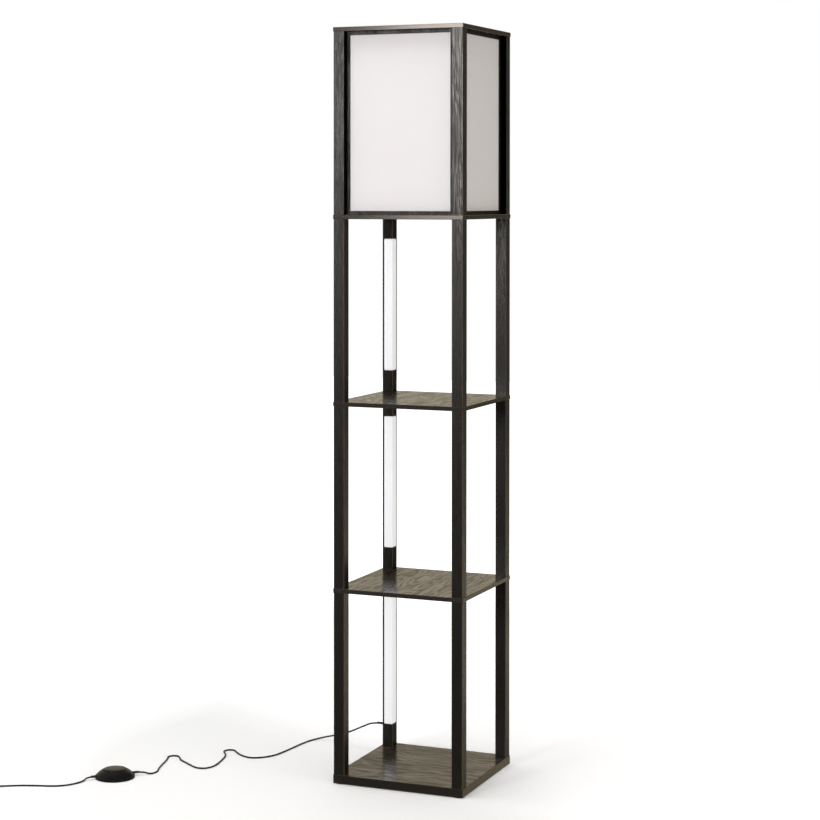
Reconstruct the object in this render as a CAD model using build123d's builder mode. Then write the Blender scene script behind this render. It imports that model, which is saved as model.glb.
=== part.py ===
"""A square shelf floor lamp: four tiers of posts between boards, a box shade, light posts, a cord with a foot switch.

The lamp stands at the origin, +Z is up and the front faces -Y. Everything is in millimetres.
"""

from build123d import *
import math
import os

os.makedirs("parts", exist_ok=True)

# Boards and posts
board_side = 290.0
base_thick = 18.0
board_thick = 9.0
board_edge = 0.6
post_side = 24.0
post_length = 382.0
post_edge = 0.5
post_inset = 1.0
pad_proud = 1.5
pad_sunk = 1.0
pad_radius = 11.0
frame_bar = 29.0

# Hardware that joins the tiers
slack = 0.05
insert_radius = 4.0
insert_length = 12.0
stud_radius = 2.5
stud_hole_slack = 0.2
insert_hole_depth = 20.0
bolt_reach = 10.5
bolt_head_radius = 5.0
bolt_head_height = 2.8
bolt_well_radius = 6.0
bolt_key_flats = 3.0
bolt_key_depth = 1.8
cross_slot_width = 0.7
cross_slot_depth = 0.8

# Light posts
light_block = 46.0
light_wall = 3.8
diffuser_wall = 1.6
diffuser_gap = 0.1
diffuser_setback = 0.2
diffuser_end_round = 4.0
diffuser_edge_round = 1.2
strip_width = 10.0
strip_thick = 1.0
strip_end_gap = 5.0
strip_from_corner = 7.2
chip_size = 3.0
chip_height = 0.8
chip_count = 24
driver_length = 14.0
driver_height = 3.0

# Cord, and the way it takes inside the lamp
cord_radius = 1.8
cord_hole_slack = 0.4
cord_off_floor = 0.1
wire_dx = -4.2
wire_dy = 5.4
exit_height = 42.5
entry_bend = 3.7
groove_bend = 3.0
groove_turn = 12.0
groove_run = 31.0
groove_cover = 0.4
bushing_neck = 2.8
bushing_flange = 3.6
bushing_flange_thick = 1.4
bushing_tip = 2.4
bushing_length = 20.0
cord_in_bushing = 1.0

# Shade
shade_recess = 13.0
stick_width = 8.0
stick_depth = 6.0
frame_gap = 0.1
panel_thick = 0.8
panel_lap = 4.0
panel_setback = 1.8
panel_slack = 0.15

# Lamp holder and bulb
cup_radius = 22.0
cup_height = 20.0
cup_wall = 2.0
cup_flange_radius = 32.0
cup_flange_thick = 2.5
cup_screw_circle = 27.0
screw_radius = 1.6
screw_head_radius = 3.2
screw_head_height = 1.4
screw_length = 8.0
socket_radius = 19.9
socket_lift = 9.0
socket_height = 46.0
socket_bore = 13.6
socket_floor = 12.0
contact_radius = 4.0
contact_height = 3.0
cap_radius = 13.2
cap_root = 12.3
cap_height = 25.0
cap_threads = 5
cap_seat = 3.0
globe_radius = 30.0
globe_neck = 13.0
globe_height = 84.0
globe_wall = 1.4

# Foot switch
switch_x = -589.3
switch_y = -283.3
switch_turn = 45.0
switch_radius = 42.0
switch_skirt = 5.0
switch_height = 20.5
switch_shoulder = 18.0
cover_wall = 2.2
cover_off_floor = 0.6
button_radius = 24.0
button_gap = 0.3
button_travel = 3.0
button_wall = 2.0
button_lip = 1.8
button_lip_thick = 1.6
button_lip_drop = 3.2
switch_base_low = 1.0
switch_base_thick = 2.2
switch_base_gap = 0.25
port_height = 6.6
port_start = 33.4
block_reach = 33.0
block_gap = 0.2
block_width = 16.0
block_top = 9.0
well_depth = 4.2
stem_radius = 3.0
stem_dip = 0.6
spring_radius = 5.0
spring_wire = 0.8
spring_turns = 4.0
boss_circle = 31.0
boss_radius = 2.8
boss_top = 12.6
switch_screw_radius = 1.2
switch_screw_head = 2.4
switch_screw_head_height = 1.1
switch_screw_length = 9.0
foot_radius = 4.5
foot_circle = 33.0
switch_bushing_reach = 53.4
switch_bushing_root = 3.1
switch_bushing_tip = 2.4

# Coil of the put-away cord, its tie and the plug
coil_x = -787.0
coil_y = -485.0
coil_start = 122.7
coil_radius = 26.0
coil_step = 4.15
coil_turns = 5.25
climb_turns = 0.5
tie_thick = 0.6
tie_width = 8.0
tie_gap = 0.15
plug_neck = 23.0
plug_neck_radius = 3.2
plug_length = 30.0
plug_width = 25.0
plug_round = 4.0
blade_length = 16.0
blade_width = 6.3
blade_thick = 1.5
blade_spacing = 12.7

# Heights, from the floor up
base_low = pad_proud
base_top = base_low + base_thick
lower_low = base_top + post_length
lower_top = lower_low + board_thick
middle_low = lower_top + post_length
middle_top = middle_low + board_thick
floor_low = middle_top + post_length
floor_top = floor_low + board_thick
top_low = floor_top + post_length
top_top = top_low + board_thick

# Places that several pieces share
post_reach = board_side / 2 - post_inset - post_side / 2
post_outer = post_reach + post_side / 2
post_inner = post_reach - post_side / 2
wire_x = wire_dx - post_reach
wire_y = wire_dy + post_reach
cord_hole = cord_radius + cord_hole_slack
exit_z = base_top + exit_height
groove_z = floor_top - groove_cover - cord_radius
insert_hole = insert_radius + slack
stud_hole = stud_radius + slack
through_hole = stud_radius + stud_hole_slack
cup_floor = floor_top + cup_flange_thick
socket_low = cup_floor + socket_lift

corners = {
    "front_left": (-post_reach, -post_reach),
    "front_right": (post_reach, -post_reach),
    "rear_right": (post_reach, post_reach),
    "rear_left": (-post_reach, post_reach),
}
tiers = {"bottom": base_top, "lower": lower_top, "upper": middle_top, "shade": floor_top}
stand = (Align.CENTER, Align.CENTER, Align.MIN)


def bore(x, y, low, high, radius):
    """Cuts an upright round hole in the piece being built."""
    with Locations((x, y, low)):
        Cylinder(radius, high - low, align=stand, mode=Mode.SUBTRACT)


def post_end_holes(x, y, low):
    """Cuts the holes for the threaded inserts in both ends of a post."""
    bore(x, y, low, low + insert_hole_depth, insert_hole)
    bore(x, y, low + post_length - insert_hole_depth, low + post_length, insert_hole)


def key_recess(x, y, low):
    """Cuts the six-sided recess for a key into a bolt's head."""
    with BuildSketch(Plane.XY.offset(low)) as key:
        with Locations((x, y)):
            RegularPolygon(bolt_key_flats / 2, 6, major_radius=False)
    extrude(key.sketch, amount=bolt_key_depth, mode=Mode.SUBTRACT)


def cross_recess(place, reach, faces_up):
    """Cuts the crossed slots for a screwdriver into a screw's head."""
    side = Align.MAX if faces_up else Align.MIN
    with Locations(place):
        for length, width in ((reach, cross_slot_width), (cross_slot_width, reach)):
            Box(
                length,
                width,
                cross_slot_depth,
                align=(Align.CENTER, Align.CENTER, side),
                mode=Mode.SUBTRACT,
            )


def groove(path, low, high):
    """Cuts an upright-walled groove as wide as the cord's hole along a flat path."""
    with BuildSketch(Plane.XY.offset(low)) as outline:
        trace(path, 2 * cord_hole)
    extrude(outline.sketch, amount=high - low, mode=Mode.SUBTRACT)


def write(piece, name):
    """Labels a finished piece and writes it to its own file."""
    piece.label = name
    export_step(piece, f"parts/{name}.step")


# Boards


def make_base_board():
    with BuildPart() as base_board:
        with Locations((0, 0, base_low)):
            Box(board_side, board_side, base_thick, align=stand)
        chamfer(base_board.edges(), board_edge)
        for x, y in corners.values():
            bore(x, y, base_low, base_top, through_hole)
            bore(x, y, base_low, base_top - board_thick, bolt_well_radius)
            with Locations((x, y, base_low)):
                Cylinder(pad_radius, pad_sunk, align=stand, mode=Mode.SUBTRACT)
            head_low = base_top - board_thick
            with Locations((x, y, head_low)):
                Cone(
                    bolt_head_radius + slack,
                    through_hole,
                    bolt_head_height,
                    align=stand,
                    mode=Mode.SUBTRACT,
                )
    write(base_board.part, "base_board")


def make_shelf(name, low):
    with BuildPart() as shelf:
        with Locations((0, 0, low)):
            Box(board_side, board_side, board_thick, align=stand)
        chamfer(shelf.edges(), board_edge)
        for x, y in corners.values():
            bore(x, y, low, low + board_thick, through_hole)
        bore(wire_x, wire_y, low, low + board_thick, cord_hole)
    write(shelf.part, name)


def make_shade_floor():
    with BuildPart() as shade_floor:
        with Locations((0, 0, floor_low)):
            Box(board_side, board_side, board_thick, align=stand)
        chamfer(shade_floor.edges(), board_edge)
        for x, y in corners.values():
            bore(x, y, floor_low, floor_top, through_hole)
        bore(wire_x, wire_y, floor_low, floor_top, cord_hole)
        with BuildLine() as start_of_groove:
            Line((wire_x, wire_y), (wire_x + groove_bend + cord_radius, wire_y))
        groove(start_of_groove.line, floor_low, floor_top)
        with BuildLine() as rest_of_groove:
            FilletPolyline(
                (wire_x, wire_y), (wire_x + groove_run, wire_y), (0, 0), radius=groove_turn
            )
        groove(rest_of_groove.line, groove_z - cord_hole, floor_top)
        bore(0, 0, groove_z - cord_hole, floor_top, cord_hole)
        for side in (-1, 1):
            screw_low = cup_floor - screw_length
            bore(side * cup_screw_circle, 0, screw_low, floor_top, screw_radius + slack)
    write(shade_floor.part, "shade_floor_board")


def make_top_frame():
    with BuildPart() as top_frame:
        with Locations((0, 0, top_low)):
            Box(board_side, board_side, board_thick, align=stand)
            opening = board_side - 2 * frame_bar
            Box(opening, opening, board_thick, align=stand, mode=Mode.SUBTRACT)
        chamfer(top_frame.edges(), board_edge)
        for x, y in corners.values():
            bore(x, y, top_low, top_top, through_hole)
            with Locations((x, y, top_top - bolt_head_height)):
                Cone(
                    through_hole,
                    bolt_head_radius + slack,
                    bolt_head_height,
                    align=stand,
                    mode=Mode.SUBTRACT,
                )
    write(top_frame.part, "top_frame")


# Posts


def make_post(name, x, y, low):
    with BuildPart() as post:
        with Locations((x, y, low)):
            Box(post_side, post_side, post_length, align=stand)
        chamfer(post.edges().filter_by(Axis.Z), post_edge)
        post_end_holes(x, y, low)
    write(post.part, name)


def make_light_post(name, low, with_entry):
    """The rear-left post of an open tier: its inner front corner is cut away for the light bar."""
    x, y = corners["rear_left"]
    cut = post_side - light_wall
    with BuildPart() as post:
        with Locations((x, y, low)):
            Box(post_side, post_side, post_length, align=stand)
        chamfer(post.edges().filter_by(Axis.Z), post_edge)
        with Locations((x + post_side / 2, y - post_side / 2, low + light_block)):
            Box(
                cut,
                cut,
                post_length - 2 * light_block,
                align=(Align.MAX, Align.MIN, Align.MIN),
                mode=Mode.SUBTRACT,
            )
        post_end_holes(x, y, low)
        bore(wire_x, wire_y, low + post_length - light_block, low + post_length, cord_hole)
        if with_entry:
            # A pocket under the light bar, where the cord comes in and turns up.
            with Locations((wire_x + cord_hole, wire_y, exit_z - cord_hole)):
                Box(
                    wire_x + cord_hole + post_outer - light_wall,
                    2 * cord_hole,
                    low + light_block - exit_z + cord_hole,
                    align=(Align.MAX, Align.CENTER, Align.MIN),
                    mode=Mode.SUBTRACT,
                )
            with Locations(Plane(origin=(-post_outer, wire_y, exit_z), z_dir=(1, 0, 0))):
                Cylinder(bushing_neck + slack, light_wall, align=stand, mode=Mode.SUBTRACT)
        else:
            bore(wire_x, wire_y, low, low + light_block, cord_hole)
    write(post.part, name)


def make_diffuser(name, low):
    """White L-shaped light cover: a front and a right wall with closed ends, open towards the wood."""
    side = post_side - light_wall - diffuser_gap - diffuser_setback
    length = post_length - 2 * light_block - 2 * diffuser_gap
    left = -post_outer + light_wall + diffuser_gap
    front = post_inner + diffuser_setback
    bottom = low + light_block + diffuser_gap
    with BuildPart() as diffuser:
        with Locations((left, front, bottom)):
            Box(side, side, length, align=(Align.MIN, Align.MIN, Align.MIN))
        outer_edge = diffuser.edges().filter_by(Axis.Z).group_by(Axis.Y)[0].sort_by(Axis.X)[-1]
        fillet(outer_edge, diffuser_edge_round)
        ends = diffuser.faces().filter_by(Axis.Z).edges()
        front_ends = ends.group_by(Axis.Y)[0]
        right_ends = ends.group_by(Axis.X)[-1]
        fillet(front_ends + right_ends, diffuser_end_round)
        with Locations((left, front + diffuser_wall, bottom + diffuser_wall)):
            Box(
                side - diffuser_wall,
                side - diffuser_wall,
                length - 2 * diffuser_wall,
                align=(Align.MIN, Align.MIN, Align.MIN),
                mode=Mode.SUBTRACT,
            )
        # Both closed ends are notched from the back for the cord.
        with Locations((wire_x, wire_y - cord_hole, bottom)):
            Box(
                2 * cord_hole,
                post_side,
                length,
                align=(Align.CENTER, Align.MIN, Align.MIN),
                mode=Mode.SUBTRACT,
            )
    write(diffuser.part, name)


def make_light_strip(name, low):
    """Circuit strip with its light chips, stuck to the light post's back wall."""
    length = post_length - 2 * (light_block + diffuser_wall + strip_end_gap)
    left = -post_outer + light_wall + strip_from_corner
    back = post_outer - light_wall
    bottom = low + (post_length - length) / 2
    middle = left + strip_width / 2
    pitch = (length - driver_length) / chip_count
    with BuildPart() as strip:
        with Locations((middle, back, bottom)):
            Box(strip_width, strip_thick, length, align=(Align.CENTER, Align.MAX, Align.MIN))
        face = back - strip_thick
        with Locations((middle, face, bottom)):
            Box(
                strip_width,
                driver_height,
                driver_length,
                align=(Align.CENTER, Align.MAX, Align.MIN),
            )
        chip_places = [
            (middle, face, bottom + driver_length + (number + 0.5) * pitch)
            for number in range(chip_count)
        ]
        with Locations(chip_places):
            Box(
                chip_size, chip_height, chip_size, align=(Align.CENTER, Align.MAX, Align.CENTER)
            )
    write(strip.part, name)


# Hardware


def make_inserts():
    """Threaded inserts: one in each end of each post, all alike."""
    with BuildPart() as inserts:
        for low in tiers.values():
            for x, y in corners.values():
                for bottom in (low, low + post_length - insert_length):
                    with Locations((x, y, bottom)):
                        Cylinder(insert_radius, insert_length, align=stand)
                    bore(x, y, bottom, bottom + insert_length, stud_hole)
    write(inserts.part, "post_inserts")


def make_studs():
    """Threaded studs that join the posts of two tiers through the board between them."""
    with BuildPart() as studs:
        for low in (lower_low, middle_low, floor_low):
            for x, y in corners.values():
                with Locations((x, y, low - bolt_reach)):
                    Cylinder(stud_radius, board_thick + 2 * bolt_reach, align=stand)
    write(studs.part, "shelf_studs")


def make_board_bolts():
    """Countersunk bolts: four up through the base, four down through the top frame."""
    shank = board_thick - bolt_head_height + bolt_reach
    with BuildPart() as bolts:
        for x, y in corners.values():
            head_low = base_top - board_thick
            with Locations((x, y, head_low)):
                Cone(bolt_head_radius, stud_radius, bolt_head_height, align=stand)
            with Locations((x, y, head_low + bolt_head_height)):
                Cylinder(stud_radius, shank, align=stand)
            with Locations((x, y, top_top - bolt_head_height)):
                Cone(stud_radius, bolt_head_radius, bolt_head_height, align=stand)
            with Locations((x, y, top_top - bolt_head_height - shank)):
                Cylinder(stud_radius, shank, align=stand)
            key_recess(x, y, head_low)
            key_recess(x, y, top_top - bolt_key_depth)
    write(bolts.part, "board_bolts")


def make_foot_pads():
    with BuildPart() as pads:
        for x, y in corners.values():
            with Locations((x, y, 0)):
                Cylinder(pad_radius - slack, pad_proud + pad_sunk, align=stand)
    write(pads.part, "foot_pads")


# Shade


def shade_side(quarter):
    """The plane of one side of the shade: its X runs along the side and its Z points outwards."""
    outward = Vector(0, -1, 0).rotate(Axis.Z, 90 * quarter)
    along = Vector(1, 0, 0).rotate(Axis.Z, 90 * quarter)
    return Plane(
        origin=outward * (post_outer - shade_recess) + Vector(0, 0, floor_top),
        x_dir=along,
        z_dir=outward,
    )


def panel_size():
    """Width and height of a panel, whose rim goes into the groove of the four sticks round it."""
    reach = panel_lap - stick_width
    return 2 * (post_inner + reach), post_length + 2 * reach


def make_shade_frame(name, quarter):
    """Four sticks round one side of the shade, with a groove near their face that holds the panel."""
    side = shade_side(quarter)
    width = 2 * post_inner - 2 * frame_gap
    height = post_length - frame_gap
    panel_width, panel_height = panel_size()
    with BuildPart() as frame:
        with BuildSketch(side):
            with Locations((0, height / 2)):
                Rectangle(width, height)
                Rectangle(width - 2 * stick_width, height - 2 * stick_width, mode=Mode.SUBTRACT)
        extrude(amount=-stick_depth)
        with BuildSketch(side.offset(panel_slack - panel_setback)):
            with Locations((0, post_length / 2)):
                Rectangle(panel_width + 2 * panel_slack, panel_height + 2 * panel_slack)
        extrude(amount=-panel_thick - 2 * panel_slack, mode=Mode.SUBTRACT)
    write(frame.part, name)


def make_shade_panel(name, quarter):
    with BuildPart() as panel:
        with BuildSketch(shade_side(quarter).offset(-panel_setback)):
            with Locations((0, post_length / 2)):
                Rectangle(*panel_size())
        extrude(amount=-panel_thick)
    write(panel.part, name)


# Lamp holder and bulb


def make_holder_cup():
    with BuildPart() as cup:
        with Locations((0, 0, floor_top)):
            Cylinder(cup_flange_radius, cup_flange_thick, align=stand)
            Cylinder(cup_radius, cup_flange_thick + cup_height, align=stand)
        bore(0, 0, cup_floor, cup_floor + cup_height, cup_radius - cup_wall)
        bore(0, 0, floor_top, cup_floor, cord_hole)
        for side in (-1, 1):
            bore(side * cup_screw_circle, 0, floor_top, cup_floor, screw_radius + slack)
        rim = cup.edges().filter_by(GeomType.CIRCLE).group_by(Axis.Z)[-1]
        fillet(rim, cup_wall / 4)
    write(cup.part, "holder_cup")


def make_holder_screws():
    with BuildPart() as screws:
        for side in (-1, 1):
            with Locations((side * cup_screw_circle, 0, cup_floor - screw_length)):
                Cylinder(screw_radius, screw_length, align=stand)
            with Locations((side * cup_screw_circle, 0, cup_floor)):
                Cylinder(screw_head_radius, screw_head_height, align=stand)
            head_top = (side * cup_screw_circle, 0, cup_floor + screw_head_height)
            cross_recess(head_top, 1.2 * screw_head_radius, faces_up=True)
    write(screws.part, "holder_screws")


def make_socket():
    """Bulb socket: stands on a collar in the cup, with a contact on its inner floor."""
    top = socket_low + socket_height
    with BuildPart() as socket:
        with Locations((0, 0, socket_low)):
            Cylinder(socket_radius, socket_height, align=stand)
        with Locations((0, 0, cup_floor)):
            Cylinder(socket_radius, socket_lift, align=stand)
        bore(0, 0, cup_floor, socket_low, socket_bore)
        bore(0, 0, socket_low + socket_floor, top, socket_bore)
        with Locations((0, 0, socket_low + socket_floor)):
            Cylinder(contact_radius, contact_height, align=stand)
        outer_rim = socket.edges().filter_by(GeomType.CIRCLE).group_by(Axis.Z)[-1]
        fillet(outer_rim, 1)
    write(socket.part, "bulb_socket")


cap_low = socket_low + socket_floor + contact_height
cap_top = cap_low + cap_height


def make_bulb_cap():
    """Screw cap of the bulb: a stack of rounded ridges over a tapered foot."""
    pitch = (cap_height - 2 * cap_seat) / cap_threads
    with BuildPart() as cap:
        with BuildSketch(Plane.XZ):
            with BuildLine():
                foot = Polyline(
                    (0, cap_low),
                    (contact_radius, cap_low),
                    (cap_root, cap_low + cap_seat),
                )
                ridge_end = foot @ 1
                for number in range(cap_threads):
                    low = cap_low + cap_seat + number * pitch
                    ridge = ThreePointArc(
                        (cap_root, low), (cap_radius, low + pitch / 2), (cap_root, low + pitch)
                    )
                    ridge_end = ridge @ 1
                Polyline(ridge_end, (cap_root, cap_top), (0, cap_top), (0, cap_low))
            make_face()
        revolve(axis=Axis.Z)
    write(cap.part, "bulb_cap")


def make_bulb_globe():
    """Frosted bulb: a thin shell, open at the neck, that stands on the cap."""
    centre = cap_top + globe_height - globe_radius
    neck_top = cap_top + globe_neck
    lean = math.radians(-40)
    outer_side = (globe_radius * math.cos(lean), centre + globe_radius * math.sin(lean))
    inner_radius = globe_radius - globe_wall
    inner_side = (inner_radius * math.cos(lean), centre + inner_radius * math.sin(lean))
    with BuildPart() as globe:
        with BuildSketch(Plane.XZ):
            with BuildLine():
                outer = ThreePointArc(
                    (0, centre + globe_radius), (globe_radius, centre), outer_side
                )
                outer_neck = (cap_radius, neck_top)
                TangentArc(outer @ 1, outer_neck, tangent=outer % 1)
                Polyline(
                    outer_neck,
                    (cap_radius, cap_top),
                    (cap_radius - globe_wall, cap_top),
                    (cap_radius - globe_wall, neck_top),
                )
                inner = ThreePointArc((0, centre + inner_radius), (inner_radius, centre), inner_side)
                TangentArc(inner @ 1, (cap_radius - globe_wall, neck_top), tangent=inner % 1)
                Line((0, centre + inner_radius), (0, centre + globe_radius))
            make_face()
        revolve(axis=Axis.Z)
    write(globe.part, "bulb_globe")


# Cord helpers


def fillet_radii(route):
    """The largest arc for each corner of a route: it takes 0.45 of the shorter run beside it."""
    points = [Vector(*point) for point in route]
    radii = []
    for before, corner, after in zip(points, points[1:], points[2:]):
        half_turn = math.radians((corner - before).get_angle(after - corner)) / 2
        shorter = min((corner - before).length, (after - corner).length)
        radii.append(0.45 * shorter / math.tan(half_turn))
    return radii


def make_tube(name, route, radii):
    """Sweeps the cord's round section along straight runs joined by tangent arcs."""
    with BuildPart() as tube:
        with BuildLine() as path:
            FilletPolyline(*route, radius=radii)
        with BuildSketch(Plane(origin=path.wire() @ 0, z_dir=path.wire() % 0)):
            Circle(cord_radius)
        sweep(path=path.wire())
    expected = math.pi * cord_radius**2 * path.wire().length
    print(name, "radii", [round(radius, 1) for radius in radii])
    print(name, "length", round(path.wire().length, 1), "volume share", tube.part.volume / expected)
    write(tube.part, name)


def arc_from(start, heading, end):
    """Adds the arc that leaves start along heading and ends at end."""
    chord = end - start
    along = heading * chord.dot(heading)
    sideways = chord - along
    radius = chord.length**2 / (2 * sideways.length)
    angle = math.asin(min(1, chord.length / (2 * radius)))
    middle = (
        start
        + heading * (radius * math.sin(angle))
        + sideways.normalized() * (radius * (1 - math.cos(angle)))
    )
    ThreePointArc(start, middle, end)


def biarc(start, heading, end, end_heading):
    """Adds two arcs that meet smoothly and have the given headings at their ends."""
    span = end - start
    both = heading + end_heading
    spread = 2 * (1 - heading.dot(end_heading))
    reach = (
        math.sqrt(span.dot(both) ** 2 + spread * span.dot(span)) - span.dot(both)
    ) / spread
    meeting = (start + end + (heading - end_heading) * reach) * 0.5
    meeting_heading = (end - end_heading * reach - start - heading * reach).normalized()
    arc_from(start, heading, meeting)
    arc_from(meeting, meeting_heading, end)


def heading_of(place, turn):
    """Direction of travel of a winding at a number of turns from its start."""
    step = 0.001
    return (place(turn + step) - place(turn - step)).normalized()


def wind(place, turns):
    """Adds a winding as biarcs of a quarter turn each."""
    quarters = round(turns * 4)
    for number in range(quarters):
        low, high = number / 4, (number + 1) / 4
        biarc(place(low), heading_of(place, low), place(high), heading_of(place, high))


def least_gap(place, turns, wire_diameter):
    """Smallest gap between two turns of a winding, measured on points along it."""
    samples = [(number / 48, place(number / 48)) for number in range(round(turns * 48) + 1)]
    gaps = [
        (first - second).length - wire_diameter
        for low, first in samples
        for high, second in samples
        if high - low > 0.5
    ]
    return min(gaps)


# Cord, bushings and what it leads to


def make_inner_cable():
    """The cord inside the lamp: in at the bottom, up through the light posts, along the groove, up the cup."""
    route = [
        (-post_outer + cord_in_bushing, wire_y, exit_z),
        (wire_x, wire_y, exit_z),
        (wire_x, wire_y, groove_z),
        (wire_x + groove_run, wire_y, groove_z),
        (0, 0, groove_z),
        (0, 0, socket_low),
    ]
    make_tube("inner_cable", route, [entry_bend, groove_bend, groove_turn, groove_bend])


def make_cord_bushing():
    """Rubber bushing in the light post's left wall, with a short taper along the cord."""
    outlet = Plane(origin=(-post_outer, wire_y, exit_z), z_dir=(-1, 0, 0))
    with BuildPart() as bushing:
        with Locations(outlet.offset(-light_wall)):
            Cylinder(bushing_neck, light_wall, align=stand)
        with Locations(outlet):
            Cylinder(bushing_flange, bushing_flange_thick, align=stand)
            Cone(bushing_neck, bushing_tip, bushing_length, align=stand)
        with Locations(outlet.offset(-light_wall)):
            Cylinder(
                cord_radius + slack,
                light_wall + bushing_length,
                align=stand,
                mode=Mode.SUBTRACT,
            )
    write(bushing.part, "cord_bushing")


switch_plane = Plane(
    origin=(switch_x, switch_y, 0),
    x_dir=(math.cos(math.radians(switch_turn)), math.sin(math.radians(switch_turn)), 0),
    z_dir=(0, 0, 1),
)
switch_side_view = Plane(
    origin=(switch_x, switch_y, 0), x_dir=switch_plane.x_dir, z_dir=-switch_plane.y_dir
)
switch_axis = Axis(origin=(switch_x, switch_y, 0), direction=(0, 0, 1))
base_plate_top = switch_base_low + switch_base_thick
shoulder_radius = button_radius + button_gap
lip_top = switch_shoulder - button_lip_drop


def on_switch(along, across, height):
    """A point in the room from one given in the switch's own directions."""
    return switch_plane.from_local_coords((along, across, height))


def make_switch_cover():
    """Domed housing of the foot switch, with a low skirt, a step and a round hole for the button."""
    step_radius = switch_radius - 1.6
    step_height = switch_skirt + 1.4
    dome_middle = (0.56 * step_radius + 0.44 * shoulder_radius, 0.42 * step_height + 0.58 * switch_shoulder)
    inner_skirt = switch_radius - cover_wall
    inner_step = step_radius - cover_wall
    inner_middle = (dome_middle[0] - 0.6 * cover_wall, dome_middle[1] - 0.9 * cover_wall)
    with BuildPart() as cover:
        with BuildSketch(switch_side_view):
            with BuildLine():
                Polyline(
                    (inner_skirt, cover_off_floor),
                    (switch_radius, cover_off_floor),
                    (switch_radius, switch_skirt),
                    (step_radius, step_height),
                )
                ThreePointArc(
                    (step_radius, step_height), dome_middle, (shoulder_radius + 1, switch_shoulder)
                )
                Polyline(
                    (shoulder_radius + 1, switch_shoulder),
                    (shoulder_radius, switch_shoulder - 0.6),
                    (shoulder_radius, lip_top + 0.2),
                    (shoulder_radius + button_lip + 0.6, lip_top + 0.2),
                )
                ThreePointArc(
                    (shoulder_radius + button_lip + 0.6, lip_top + 0.2),
                    inner_middle,
                    (inner_step, step_height),
                )
                Polyline(
                    (inner_step, step_height),
                    (inner_skirt, switch_skirt),
                    (inner_skirt, cover_off_floor),
                )
            make_face()
        revolve(axis=switch_axis)
        for angle in (90, 210, 330):
            across = math.radians(angle)
            place = (boss_circle * math.cos(across), boss_circle * math.sin(across))
            foot = on_switch(*place, base_plate_top + slack)
            with Locations(foot):
                Cylinder(boss_radius, boss_top - base_plate_top - slack, align=stand)
            with Locations(foot):
                Cylinder(
                    switch_screw_radius + slack,
                    switch_screw_length - switch_base_thick + 0.5,
                    align=stand,
                    mode=Mode.SUBTRACT,
                )
        for side in (-1, 1):
            port = Plane(
                origin=on_switch(side * (inner_step - 6), 0, port_height),
                z_dir=switch_plane.x_dir * side,
            )
            with Locations(port):
                Cylinder(switch_bushing_root + slack, 12, align=stand, mode=Mode.SUBTRACT)
    write(cover.part, "switch_cover")


def make_switch_base():
    """Round base plate inside the cover's skirt, with sunk screw holes."""
    radius = switch_radius - cover_wall - switch_base_gap
    with BuildPart() as base:
        with Locations(on_switch(0, 0, switch_base_low)):
            Cylinder(radius, switch_base_thick, align=stand)
        for angle in (90, 210, 330):
            across = math.radians(angle)
            place = (boss_circle * math.cos(across), boss_circle * math.sin(across))
            with Locations(on_switch(*place, switch_base_low)):
                Cylinder(
                    switch_screw_radius + slack, switch_base_thick, align=stand, mode=Mode.SUBTRACT
                )
                Cylinder(
                    switch_screw_head + slack,
                    switch_screw_head_height,
                    align=stand,
                    mode=Mode.SUBTRACT,
                )
    write(base.part, "switch_base")


def make_switch_feet():
    with BuildPart() as feet:
        for angle in (30, 150, 270):
            across = math.radians(angle)
            place = (foot_circle * math.cos(across), foot_circle * math.sin(across))
            with Locations(on_switch(*place, 0)):
                Cylinder(foot_radius, switch_base_low, align=stand)
    write(feet.part, "switch_feet")


def make_switch_screws():
    with BuildPart() as screws:
        for angle in (90, 210, 330):
            across = math.radians(angle)
            place = (boss_circle * math.cos(across), boss_circle * math.sin(across))
            with Locations(on_switch(*place, switch_base_low)):
                Cylinder(switch_screw_radius, switch_screw_length, align=stand)
                Cylinder(switch_screw_head, switch_screw_head_height, align=stand)
            head_under = on_switch(*place, switch_base_low)
            cross_recess(head_under, 1.2 * switch_screw_head, faces_up=False)
    write(screws.part, "switch_screws")


def make_switch_block():
    """Contact carrier on the base plate: the cords end at its two ends, the button's stem dips into it."""
    with BuildPart() as block:
        with BuildSketch(switch_plane.offset(base_plate_top)):
            Rectangle(2 * block_reach, 2 * cord_radius + 2)
            Rectangle(2 * (spring_radius + 4), block_width)
        extrude(amount=block_top - base_plate_top)
        with Locations(on_switch(0, 0, block_top - well_depth)):
            Cylinder(stem_radius + button_gap, well_depth, align=stand, mode=Mode.SUBTRACT)
    write(block.part, "switch_block")


button_under = switch_height - 1.2 - button_wall


def make_switch_button():
    """Pushed with the foot: a low crown, a lip that holds it under the cover, and a stem in the middle."""
    lip_radius = button_radius + button_lip
    inner_radius = button_radius - button_wall
    with BuildPart() as button:
        with BuildSketch(switch_side_view):
            with BuildLine():
                Polyline((0, block_top - stem_dip), (0, switch_height))
                crown = ThreePointArc(
                    (0, switch_height),
                    (button_radius * 0.55, switch_height - 0.4),
                    (button_radius - 1.5, switch_height - 1.6),
                )
                Polyline(
                    crown @ 1,
                    (button_radius, switch_height - 3),
                    (button_radius, lip_top),
                    (lip_radius, lip_top),
                    (lip_radius, lip_top - button_lip_thick),
                    (inner_radius, lip_top - button_lip_thick),
                    (inner_radius, button_under - 1),
                    (inner_radius - 1, button_under),
                    (stem_radius, button_under),
                    (stem_radius, block_top - stem_dip),
                    (0, block_top - stem_dip),
                )
            make_face()
        revolve(axis=switch_axis)
    write(button.part, "switch_button")


def spring_place(turn):
    """The return spring's centre line, from the block up to the button."""
    rise = button_under - block_top - spring_wire - 2 * slack
    angle = math.radians(switch_turn + 360 * turn)
    low = block_top + spring_wire / 2 + slack
    return Vector(
        switch_x + spring_radius * math.cos(angle),
        switch_y + spring_radius * math.sin(angle),
        low + rise * turn / spring_turns,
    )


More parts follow.
